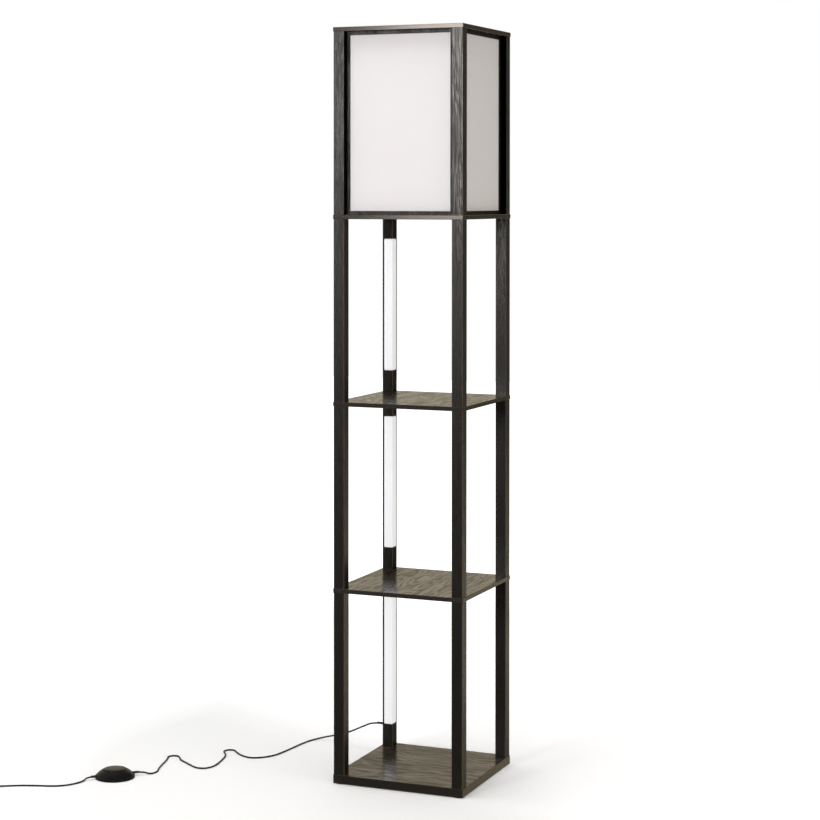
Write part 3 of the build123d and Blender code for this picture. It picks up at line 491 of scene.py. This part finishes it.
def foil(
    name, along, dark, light, across=260.0, contrast=1.0, rough=(0.34, 0.62), band=None, inside=False,
    specular=0.5, relief_strength=0.34,
):
    """Printed oak foil whose grain runs along X, Y or Z.

    Boards give the colours of their edge band, and the shade's posts get inner faces painted black as
    recess shade.
    """
    finish = bpy.data.materials.new(name)
    tree = empty_tree(finish)
    where = add(tree, "ShaderNodeTexCoord").outputs["Object"]
    slow, squeeze = [1.0, 1.0, 1.0], [1.0, 1.0, 1.0]
    slow["XYZ".index(along)] = SLOW_SHARE
    squeeze["XYZ".index(along)] = PORE_SHARE
    slow_at = stretched(tree, where, slow)
    wander = speckle(tree, slow_at, WANDER_SCALE, 2.0, output="Color")
    bend = vectors(tree, "SUBTRACT", wander, (0.5, 0.5, 0.5))
    bent = vectors(tree, "ADD", where, vectors(tree, "MULTIPLY", bend, (WANDER, WANDER, WANDER)))
    lines_at = stretched(tree, bent, squeeze)
    arches = speckle(tree, stretched(tree, bent, slow), across * ARCH_SCALE, 0.4)
    rings = maths(tree, "SINE", maths(tree, "MULTIPLY", arches, RINGS))
    streaks = speckle(tree, lines_at, across, 4.0, 0.6)
    pores = speckle(tree, lines_at, across * PORE_SCALE, 2.0, 0.55)
    patches = speckle(tree, slow_at, PATCH_SCALE, 3.0)
    total = maths(tree, "MULTIPLY", rings, RING_SHARE)
    for layer, share in ((streaks, STREAK_SHARE), (patches, PATCH_SHARE), (pores, FINE_SHARE)):
        total = maths(tree, "MULTIPLY_ADD", layer, share, total)
    spread = TONE_SPREAD / contrast
    tone = ramp(tree, total, 0.5 - spread, 0.5 + spread)
    pore_mask = ramp(tree, pores, *PORE_EDGE)
    grain = blend(tree, tone, (*dark, 1.0), (*light, 1.0))
    colour = blend(tree, 1.0, grain, blend(tree, pore_mask, PORE_DARK, WHITE), blend_type="MULTIPLY")
    gloss = ramp(tree, tone, 0.0, 1.0, rough[1], rough[0])
    relief = maths(tree, "MULTIPLY_ADD", pore_mask, PORE_RELIEF, tone)
    metal = 0.0
    if band:
        side, front = (
            maths(tree, "GREATER_THAN", way_out(tree, where, axis), BOARD_EDGE) for axis in "XY"
        )
        either = maths(tree, "MAXIMUM", side, front)
        gloss = mix(tree, either, gloss, BAND_ROUGH)
        colour = blend(tree, front, colour, (*band["front"], 1.0))
        # The band's paler side colour is painted light.
        colour = blend(tree, side, colour, (*band["side"], 1.0))
        metal = mix(tree, side, maths(tree, "MULTIPLY", tone, GRAIN_SHEEN), band["side_metal"])
        metal = mix(tree, front, metal, band["front_metal"])
        relief = maths(tree, "MULTIPLY", relief, maths(tree, "SUBTRACT", 1.0, either))
    else:
        # A thin brown line on the posts' upright edges is a painted edge highlight.
        colour = blend(tree, arris(tree, where, inside), colour, EDGE_GLINT_BROWN)
    # Painted shade: the shade's posts' inner faces are black and metallic, so the recess beside the linen
    # renders black.
    if inside:
        metal = painted_recess_shade(tree, where)
        colour = blend(tree, metal, colour, RECESS_SHADE_BLACK)
        gloss = mix(tree, metal, gloss, RECESS_SHADE_ROUGH)
    skin(tree, {
        "Base Color": colour,
        "Roughness": gloss,
        "Metallic": metal,
        "Specular IOR Level": specular,
        "Normal": bumps(tree, relief, relief_strength, RELIEF_DEPTH),
    })
    return finish


def dress(name, finish):
    """Gives one of the ready solids its finish."""
    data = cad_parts[name].data
    data.materials.clear()
    data.materials.append(finish)


# %% [markdown]
# The tiers don't look alike, so there are copies of the foil. The shade's posts are painted palest, painted
# light where the key lamp shines on them; the light posts' copy is painted darker, painted shade, and matt
# so that the bars don't mirror in them; and the boards' pale grain has a little sheen.

# %% Dress the posts and boards
post_foil = foil(
    "post_foil", "Z", (0.0012, 0.0010, 0.0009), (0.0090, 0.0080, 0.0072), across=320.0, contrast=1.1,
    rough=(0.25, 0.46),
)
# Painted light: the shade's posts get a paler copy of the foil, and black recess faces as painted shade.
shade_post_foil_painted_light_and_shade = foil(
    "shade_post_foil_painted_light_and_shade", "Z", (0.0012, 0.0010, 0.0009), (0.0140, 0.0122, 0.0112), across=320.0, contrast=1.2,
    rough=(0.20, 0.43), inside=True,
)
# Painted shade: the light posts get a darker copy of the foil.
light_post_foil_painted_shade = foil(
    "light_post_foil_painted_shade", "Z", (0.0008, 0.0007, 0.0006), (0.0044, 0.0039, 0.0035), across=320.0,
    rough=(0.60, 0.85),
)
# The band's side faces are painted a paler brown than its front, painted light for the warm light on the
# right;
# the base's sides are paler still, painted light for the bright floor that they mirror.
SHELF_BAND = {
    "front": (0.070, 0.064, 0.060), "front_metal": 0.72, "side": (0.074, 0.061, 0.042), "side_metal": 0.6
}
BASE_BAND = {
    "front": (0.060, 0.055, 0.052), "front_metal": 0.86, "side": (0.150, 0.125, 0.090), "side_metal": 0.6
}
shelf_foil = foil(
    "shelf_foil", "Y", (0.003, 0.0025, 0.002), (0.100, 0.082, 0.057), contrast=2.0, rough=(0.13, 0.30),
    band=SHELF_BAND, specular=0.12, relief_strength=0.12,
)
base_foil = foil(
    "base_foil", "X", (0.002, 0.0017, 0.0013), (0.100, 0.080, 0.054), contrast=2.4, rough=(0.13, 0.32),
    band=BASE_BAND, specular=0.12, relief_strength=0.14,
)
rail_foil = foil(
    "rail_foil", "Z", (0.0030, 0.0029, 0.0031), (0.0205, 0.0195, 0.0205), across=420.0, rough=(0.30, 0.62)
)
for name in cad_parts:
    if name.endswith("_light_post"):
        dress(name, light_post_foil_painted_shade)
    elif name.startswith("shade_post"):
        dress(name, shade_post_foil_painted_light_and_shade)
    elif "_post" in name and name != "post_inserts":
        dress(name, post_foil)
    if name.startswith("shade_frame"):
        dress(name, rail_foil)
for name in ("lower_shelf", "middle_shelf", "shade_floor_board", "top_frame"):
    dress(name, shelf_foil)
dress("base_board", base_foil)
dressed = [node.data.materials[0].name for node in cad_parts.values() if node.data.materials]
print("foil on", sum("foil" in name for name in dressed))

# %% [markdown]
# ## Plain finishes
# Metal, rubber and plastic differ in gloss, and in the faint unevenness that moulding and plating leave.
# One helper makes them all: a colour, a roughness that varies a little with noise, and a fine bump.

# %% Make a moulded or plated finish
DIM_SHARE = 0.86
BROAD_SCALE = 40.0
MOULD_DEPTH = 0.2 * MM
BAR_GLOW = (0.96, 0.97, 1.0, 1.0)


def plain(name, colour, rough, metal=0.0, grain=900.0, relief=0.03, vary=0.05, specular=0.5, glow=0.0):
    """An even finish with slightly uneven gloss and colour."""
    finish = bpy.data.materials.new(name)
    tree = empty_tree(finish)
    where = add(tree, "ShaderNodeTexCoord").outputs["Object"]
    fine = speckle(tree, where, grain, 3.0)
    broad = speckle(tree, where, BROAD_SCALE, 2.0)
    dim = tuple(channel * DIM_SHARE for channel in colour)
    skin(tree, {
        "Base Color": blend(tree, broad, (*dim, 1.0), (*colour, 1.0)),
        "Roughness": ramp(tree, broad, 0.3, 0.7, max(0.02, rough - vary), rough + vary),
        "Metallic": metal,
        "Specular IOR Level": specular,
        "Emission Color": BAR_GLOW,
        "Emission Strength": glow,
        "Normal": bumps(tree, fine, relief, MOULD_DEPTH),
    })
    return finish


cord_vinyl = plain("cord_vinyl", (0.015, 0.015, 0.019), 0.42, relief=0.08, specular=0.2)
black_gloss = plain("black_gloss", (0.008, 0.008, 0.009), 0.20, relief=0.01, vary=0.03, specular=0.10)
black_matte = plain("black_matte", (0.022, 0.022, 0.022), 0.55, relief=0.12)
black_rubber = plain("black_rubber", (0.016, 0.016, 0.016), 0.62, relief=0.15)
steel = plain("bright_steel", (0.62, 0.62, 0.64), 0.28, metal=1.0, relief=0.04)
brass = plain("brass", (0.72, 0.52, 0.22), 0.28, metal=1.0, relief=0.04)
holder_paint = plain("holder_paint", (0.70, 0.69, 0.67), 0.38, relief=0.05)
socket_glaze = plain("socket_glaze", (0.74, 0.73, 0.70), 0.22, relief=0.02)
cap_metal = plain("cap_metal", (0.66, 0.66, 0.68), 0.25, metal=1.0)
bulb_opal = plain("bulb_opal", (0.86, 0.86, 0.84), 0.34, relief=0.01)
bar_opal = plain("bar_opal", (0.46, 0.46, 0.47), 0.30, relief=0.01, vary=0.03, glow=0.58)
circuit_white = plain("circuit_white", (0.80, 0.80, 0.72), 0.4)
pad_felt = plain("pad_felt", (0.05, 0.05, 0.052), 0.95, grain=2400.0, relief=0.6, specular=0.1)
for cord in (lamp_cord, plug_cord):
    cord.data.materials.append(cord_vinyl)

# %% Dress the small solids
small = {
    "post_inserts": brass,
    "shelf_studs": steel,
    "board_bolts": steel,
    "holder_screws": steel,
    "switch_screws": steel,
    "switch_spring": steel,
    "foot_pads": pad_felt,
    "inner_cable": cord_vinyl,
    "switch_base": black_matte,
    "switch_block": black_matte,
    "switch_feet": black_rubber,
    "plug_blades": brass,
}
for name, finish in small.items():
    dress(name, finish)
for tier in ("bottom", "lower", "upper"):
    dress(f"{tier}_light_diffuser", bar_opal)
    dress(f"{tier}_light_strip", circuit_white)

# %% [markdown]
# ## Linen sides of the shade
# Each side of the shade is a sheet of off-white linen on a thin backing, held flat by its frame. A box
# would do for the outline, but cloth is never quite flat: a grid with a very slight ripple, given a
# thickness by Solidify, catches the light like a stretched sheet. The weave follows the sheet's UV map.

# %% Weave
THREAD_SHARE, THREADS = 0.03, 1300.0
SLUB_SHARE, SLUBS = 0.02, 420.0
SLUB_WEIGHT = 0.8
WEAVE_DIM = 0.955
WEAVE_ENDS = (1.45, 2.15)
WEAVE_DEPTH = 0.3 * MM


def crossed(tree, uv, thin, scale, detail):
    """Fine lines along the sheet and across it, added up."""
    ways = ((1.0, thin, 1.0), (thin, 1.0, 1.0))
    return maths(tree, "ADD", *(speckle(tree, stretched(tree, uv, way), scale, detail) for way in ways))


def linen(name, colour):
    """Off-white plain weave with thicker threads here and there, on the sheet's UV map in metres."""
    finish = bpy.data.materials.new(name)
    tree = empty_tree(finish)
    uv = add(tree, "ShaderNodeUVMap", uv_map="UVMap").outputs[0]
    weave = crossed(tree, uv, THREAD_SHARE, THREADS, 2.0)
    slub = crossed(tree, uv, SLUB_SHARE, SLUBS, 3.0)
    both = maths(tree, "MULTIPLY_ADD", slub, SLUB_WEIGHT, weave)
    tone = ramp(tree, both, *WEAVE_ENDS)
    dim = tuple(channel * WEAVE_DIM for channel in colour)
    skin(tree, {
        "Base Color": blend(tree, tone, (*dim, 1.0), (*colour, 1.0)),
        "Roughness": 0.85,
        "Specular IOR Level": 0.2,
        "Sheen Weight": 0.08,
        "Normal": bumps(tree, both, 0.12, WEAVE_DEPTH),
    })
    return finish


shade_linen = linen("shade_linen", (0.806, 0.788, 0.795))

# %% Stretch the four sheets
SHEET_WIDTH = 232.0 * MM
SHEET_HEIGHT = 374.0 * MM
SHEET_THICK = 0.7 * MM
RIPPLE = 0.22 * MM


def stretch_sheet(side, quarter):
    """One linen side, just behind its frame."""
    low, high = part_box(f"shade_panel_{side}")
    middle = (low + high) / 2
    sheet = bmesh.new()
    bmesh.ops.create_grid(sheet, x_segments=52, y_segments=84, size=0.5, calc_uvs=True)
    flat = sheet.loops.layers.uv.verify()
    for face in sheet.faces:
        for loop in face.loops:
            loop[flat].uv = (loop.vert.co.x * SHEET_WIDTH, loop.vert.co.y * SHEET_HEIGHT)
    bmesh.ops.scale(sheet, vec=(SHEET_WIDTH, SHEET_HEIGHT, 1.0), verts=sheet.verts)
    for vert in sheet.verts:
        edge = min(0.5 - abs(vert.co.x / SHEET_WIDTH), 0.5 - abs(vert.co.y / SHEET_HEIGHT))
        ease = min(1.0, edge * 8)
        vert.co.z = RIPPLE * ease * noise.noise(Vector((vert.co.x * 14, vert.co.y * 7, quarter * 9.0)))
    upright = Matrix.Rotation(math.radians(90 * quarter), 4, "Z") @ Matrix.Rotation(math.pi / 2, 4, "X")
    bmesh.ops.transform(sheet, matrix=Matrix.Translation(middle) @ upright, verts=sheet.verts)
    data = bpy.data.meshes.new(f"shade_linen_{side}")
    sheet.to_mesh(data)
    sheet.free()
    data.shade_smooth()
    piece = bpy.data.objects.new(f"shade_linen_{side}", data)
    bpy.context.scene.collection.objects.link(piece)
    wall = piece.modifiers.new("backing", "SOLIDIFY")
    wall.thickness = SHEET_THICK
    wall.offset = 0.0
    data.materials.append(shade_linen)
    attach(piece, "lamp")
    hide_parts(f"shade_panel_{side}")
    return piece


for quarter, side in enumerate(("front", "right", "rear", "left")):
    stretch_sheet(side, quarter)

# %% [markdown]
# ## Turned pieces
# The bulb, its cap and socket, the cup under them, the switch's button and all the rubber sleeves are
# round. Each could be built from cylinders, but their soft edges are what the eye catches, so each is an
# outline of a few points that is spun about its axis, with its small rounds in the outline.

# %% Spin an outline and finish a piece


def spin(outline, closed=False, steps=96):
    """Turns an outline of (radius, height) points in millimetres about Z."""
    made = bmesh.new()
    points = [made.verts.new((radius * MM, 0.0, height * MM)) for radius, height in outline]
    if closed:
        points.append(points[0])
    edges = [made.edges.new(pair) for pair in zip(points, points[1:])]
    bmesh.ops.spin(
        made, geom=list(made.verts) + edges, cent=(0, 0, 0), axis=(0, 0, 1),
        angle=2 * math.pi, steps=steps, use_merge=True,
    )
    bmesh.ops.remove_doubles(made, verts=made.verts, dist=1e-6)
    bmesh.ops.recalc_face_normals(made, faces=made.faces)
    return made


def place(made, matrix):
    bmesh.ops.transform(made, matrix=matrix, verts=made.verts)
    return made


def finish_piece(name, made, finish, stands_for=(), body="lamp", crease=38):
    """Turns a bmesh into a smooth piece that rides on a body and stands for ready solids."""
    data = bpy.data.meshes.new(name)
    made.to_mesh(data)
    made.free()
    data.shade_smooth()
    data.set_sharp_from_angle(angle=math.radians(crease))
    data.materials.append(finish)
    piece = bpy.data.objects.new(name, data)
    bpy.context.scene.collection.objects.link(piece)
    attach(piece, body)
    if stands_for:
        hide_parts(*stands_for)
    print(name, "faces", len(data.polygons))
    return piece


def arc(centre, radius, start, end, count=6):
    """Points of an arc in an outline, angles in degrees."""
    turns = [math.radians(start + (end - start) * number / count) for number in range(count + 1)]
    return [(centre[0] + radius * math.cos(a), centre[1] + radius * math.sin(a)) for a in turns]


# %% Heights of the lamp holder
FLOOR_TOP = 1192.5
CUP_FLOOR = FLOOR_TOP + 2.5
SOCKET_LOW = CUP_FLOOR + 9.0
SOCKET_TOP = SOCKET_LOW + 46.0
CAP_LOW = SOCKET_LOW + 15.0
CAP_TOP = CAP_LOW + 25.0

# %% Holder cup
cup_outline = [
    (2.4, FLOOR_TOP),
    (31.4, FLOOR_TOP),
    *arc((31.2, FLOOR_TOP + 1.2), 0.8, -60, 90, 4),
    *arc((24.0, FLOOR_TOP + 4.5), 2.0, 270, 180, 4),
    *arc((21.2, FLOOR_TOP + 21.7), 0.8, 0, 180, 6),
    *arc((19.4, FLOOR_TOP + 3.5), 1.0, 0, -90, 4),
    (2.4, CUP_FLOOR),
]
finish_piece(
    "holder_cup_spun", spin(cup_outline, closed=True), holder_paint, ["holder_cup"]
)

# %% Bulb socket, with grip rings
grips = []
for number in range(7):
    height = SOCKET_LOW + 17 + 3.6 * number
    grips += [(19.8, height), (19.1, height + 0.6), (19.1, height + 1.6), (19.8, height + 2.2)]
socket_outline = [
    (13.6, CUP_FLOOR),
    (19.6, CUP_FLOOR),
    (19.8, CUP_FLOOR + 0.4),
    *grips,
    *arc((18.8, SOCKET_TOP - 1.0), 1.0, 0, 90, 5),
    *arc((14.6, SOCKET_TOP - 1.0), 1.0, 90, 180, 5),
    (13.6, SOCKET_LOW + 12.0),
    (4.2, SOCKET_LOW + 12.0),
    *arc((3.4, SOCKET_LOW + 14.4), 0.6, 0, 90, 3),
    (0.0, SOCKET_LOW + 15.0),
    (0.0, SOCKET_LOW),
    (13.6, SOCKET_LOW),
]
finish_piece(
    "bulb_socket_spun", spin(socket_outline, closed=True, steps=72), socket_glaze,
    ["bulb_socket"],
)

# %% Bulb cap with its rolled ridges
ridges = []
for number in range(5):
    height = CAP_LOW + 3.0 + 3.8 * number
    ridges += arc((12.3, height + 1.9), 0.9, -90, 90, 6)
cap_outline = [
    (0.0, CAP_LOW),
    (3.4, CAP_LOW),
    (4.0, CAP_LOW + 0.5),
    (11.6, CAP_LOW + 2.6),
    *ridges,
    (12.3, CAP_TOP - 0.2),
    (12.0, CAP_TOP),
    (0.0, CAP_TOP),
]
finish_piece("bulb_cap_spun", spin(cap_outline, steps=72), cap_metal, ["bulb_cap"])

# %% Bulb
GLOBE_MIDDLE = CAP_TOP + 84.0 - 30.0
side_point = (30 * math.cos(math.radians(-38)), GLOBE_MIDDLE + 30 * math.sin(math.radians(-38)))
neck_point = (13.2, CAP_TOP + 11.0)
neck = []
for number in range(1, 9):
    share = number / 9
    pull = (neck_point[0] + 1.6, neck_point[1] + 9.0)
    radius = (1 - share) ** 2 * side_point[0] + 2 * share * (1 - share) * pull[0] + share**2 * neck_point[0]
    height = (1 - share) ** 2 * side_point[1] + 2 * share * (1 - share) * pull[1] + share**2 * neck_point[1]
    neck.append((radius, height))
globe_outline = [
    *arc((0.0, GLOBE_MIDDLE), 30.0, 90, -38, 28),
    *neck,
    neck_point,
    (13.2, CAP_TOP + 0.4),
    (12.8, CAP_TOP + 0.02),
    (0.0, CAP_TOP + 0.02),
]
finish_piece("bulb_globe_spun", spin(globe_outline), bulb_opal, ["bulb_globe"])

# %% [markdown]
# ## Foot switch
# A round, low, glossy switch that is worked with the foot. Its housing comes in ready made and only needs
# its finish. The wide button in the middle, with a thin groove round its edge, is spun here. It is its own
# piece and rides on the button's body, so it sinks when the switch is pressed.

# %% Place of the switch's pieces
switch_at = Matrix.Translation(SWITCH * MM)
dress("switch_cover", black_gloss)

# %% Button
button_outline = [
    (0.0, 20.5),
    (6.0, 20.47),
    (12.0, 20.3),
    (17.0, 20.05),
    (19.4, 19.8),
    (19.8, 19.35),
    (20.6, 19.3),
    (21.0, 19.55),
    *arc((22.2, 18.3), 1.2, 70, 20, 4),
    (24.0, 17.2),
    (24.0, 14.8),
    (25.8, 14.8),
    (25.8, 13.2),
    (22.0, 13.2),
    (22.0, 16.3),
    (21.0, 17.3),
    (3.0, 17.3),
    (3.0, 8.5),
    (0.0, 8.5),
]
button = place(spin(button_outline, steps=128), switch_at)
press_button = finish_piece(
    "switch_press_button", button, black_gloss, ["switch_button"], body="button"
)

# %% [markdown]
# ## Rubber sleeves
# Where the cord leaves the post and the switch, a soft sleeve keeps it from kinking. It tapers towards the
# cord, and its rings let it bend. The rings are part of the spun outline.

# %% Sleeves


def sleeve_outline(root, tip, length, rings, bore=1.85):
    """A tapered sleeve with rings along it, from height 0 to its length."""
    outline = [(bore, 0.0), (root, 0.0)]
    pitch = length / (rings + 0.5)
    for number in range(rings):
        low = (number + 0.5) * pitch
        radius = root + (tip - root) * (low / length)
        outline += [
            (radius, low),
            (radius, low + 0.55 * pitch),
            (radius - 0.42, low + 0.65 * pitch),
            (radius - 0.42, low + 0.9 * pitch),
        ]
    outline += [(tip, length - 0.3), (tip - 0.25, length), (bore, length)]
    return outline


def toward(point, heading):
    """Places a spun piece at a point, its axis along a heading."""
    turn = Vector(heading).to_track_quat("Z", "Y").to_matrix().to_4x4()
    return Matrix.Translation(Vector(point) * MM) @ turn


post_sleeve = [
    (1.85, -3.8), (2.8, -3.8), (2.8, 0.0), *arc((3.2, 0.4), 0.4, -90, 0, 3), (3.6, 1.2), (3.2, 1.4)
]
post_sleeve += sleeve_outline(2.8, 2.3, 18.6, 6)[1:]
post_sleeve = post_sleeve[:6] + [(r, h + 1.4) for r, h in post_sleeve[6:]]
exit_sleeve = spin(post_sleeve, closed=True, steps=40)
place(exit_sleeve, toward((-144.0, 137.4, 62.0), (-1, 0, 0)))
post_bushing = finish_piece("post_bushing", exit_sleeve, black_rubber, ["cord_bushing"])

switch_sleeves = []
for side, which in ((1, "inlet"), (-1, "outlet")):
    one = spin(sleeve_outline(3.1, 2.35, 20.0, 7), closed=True, steps=40)
    heading = (side * math.cos(SWITCH_TURN), side * math.sin(SWITCH_TURN), 0)
    place(one, toward(by_switch(side * 33.4, 0, PORT_HEIGHT), heading))
    switch_sleeves.append(
        finish_piece(f"switch_{which}_sleeve", one, black_rubber, ["switch_bushings"])
    )

# %% [markdown]
# ## Plug and tie
# The moulded plug is a flat body that narrows to the cord, with finger ridges. It is grown from one rounded
# section that is extruded and scaled step by step, the way a sculptor would pull clay. The tie is a band
# round the bundle of turns.

# %% Plug body
PLUG_HEADING = coil_heading(COIL_TURNS)
plug_turn = Matrix((
    (-PLUG_HEADING.y, 0, PLUG_HEADING.x),
    (PLUG_HEADING.x, 0, PLUG_HEADING.y),
    (0, 1, 0),
)).to_4x4()
plug_at = Matrix.Translation(coil_out * MM) @ plug_turn
ROUND_NECK, SQUARE_BODY = 2.0, 5.0
NECK_HALF = 4
plug_steps = [
    (0.0, 2.2, 2.2),
    (2.0, 2.5, 2.5),
    (4.0, 2.35, 2.35),
    (6.0, 2.7, 2.7),
    (8.0, 2.5, 2.5),
    (10.0, 2.9, 2.9),
    (12.0, 2.7, 2.7),
    (14.0, 3.1, 3.1),
    (16.0, 2.9, 2.9),
    (19.0, 3.3, 3.3),
    (22.0, 4.6, 3.9),
    (23.2, 9.6, 5.2),
    (24.4, 11.6, 6.0),
    (27.0, 12.4, 6.5),
    (30.0, 12.3, 6.1),
    (31.5, 12.3, 6.5),
    (33.0, 12.2, 6.0),
    (34.5, 12.3, 6.5),
    (36.0, 12.2, 6.0),
    (37.5, 12.3, 6.5),
    (39.0, 12.2, 6.0),
    (40.5, 12.3, 6.5),
    (43.0, 12.4, 6.6),
    (51.0, 12.5, 6.6),
    (52.6, 12.1, 6.3),
    (53.0, 11.5, 5.8),
]
plug = bmesh.new()
bmesh.ops.create_circle(plug, cap_ends=True, segments=48, radius=1.0)
for vert in plug.verts:
    vert.co.x, vert.co.y = plug_steps[0][1] * MM * vert.co.x, plug_steps[0][2] * MM * vert.co.y
face = plug.faces[:][0]
for before, after in zip(plug_steps, plug_steps[1:]):
    grown = bmesh.ops.extrude_discrete_faces(plug, faces=[face])
    face = grown["faces"][0]
    for vert in face.verts:
        turn = math.atan2(vert.co.y / before[2], vert.co.x / before[1])
        squareness = ROUND_NECK if after[1] < NECK_HALF else SQUARE_BODY
        c, s = math.cos(turn), math.sin(turn)
        reach = (abs(c) ** squareness + abs(s) ** squareness) ** (-1 / squareness)
        vert.co.x = after[1] * MM * reach * c
        vert.co.y = after[2] * MM * reach * s
        vert.co.z = after[0] * MM
bmesh.ops.recalc_face_normals(plug, faces=plug.faces)
place(plug, plug_at)
plug_piece = finish_piece("plug_moulding", plug, black_matte, ["plug_body"], crease=60)

# %% Tie
tie_low, tie_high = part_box("coil_tie")
tie_angle = math.radians(COIL_START + 180)
outward = Vector((math.cos(tie_angle), math.sin(tie_angle), 0))
TIE_SLACK = 0.15
TIE_WIDTH = 8.0
TIE_CORNERS = 7
inner = COIL_RADIUS - COIL_STEP * COIL_TURNS / 2 - 1.8 - TIE_SLACK
outer = COIL_RADIUS + 1.8 + TIE_SLACK
half_wide = (outer - inner) / 2 + 0.3
half_high = 4.5
tie = bmesh.new()
bmesh.ops.create_circle(tie, cap_ends=False, segments=56, radius=1.0)
for vert in tie.verts:
    turn = math.atan2(vert.co.y, vert.co.x)
    c, s = math.cos(turn), math.sin(turn)
    reach = (abs(c) ** TIE_CORNERS + abs(s) ** TIE_CORNERS) ** (-1 / TIE_CORNERS)
    vert.co = Vector((half_wide * reach * c, half_high * reach * s, -TIE_WIDTH / 2)) * MM
rim = bmesh.ops.extrude_edge_only(tie, edges=tie.edges[:])
rim_verts = [g for g in rim["geom"] if isinstance(g, bmesh.types.BMVert)]
bmesh.ops.translate(tie, vec=(0, 0, TIE_WIDTH * MM), verts=rim_verts)
bmesh.ops.recalc_face_normals(tie, faces=tie.faces)
tie_middle = COIL_CENTRE + outward * ((inner + outer) / 2)
tie_middle.z = (tie_low.z + tie_high.z) / 2 / MM
across = Vector((0, 0, 1)).cross(outward)
tie_turn = Matrix((
    (outward.x, 0, across.x),
    (outward.y, 0, across.y),
    (0, 1, 0),
)).to_4x4()
place(tie, Matrix.Translation(tie_middle * MM) @ tie_turn)
tie_piece = finish_piece("coil_strap", tie, black_matte, ["coil_tie"])
band = tie_piece.modifiers.new("band", "SOLIDIFY")
band.thickness = 0.55 * MM
band.offset = 0.0

# %% [markdown]
# ## What hangs on the first cord
# The switch's solids, its button, a sleeve and the post's bushing are gathered in one list.

switch_solids = [f"switch_{part}" for part in ("cover", "base", "block", "spring", "screws", "feet")]
on_first = [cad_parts[name] for name in switch_solids]
on_first += [press_button, switch_sleeves[0], post_bushing]
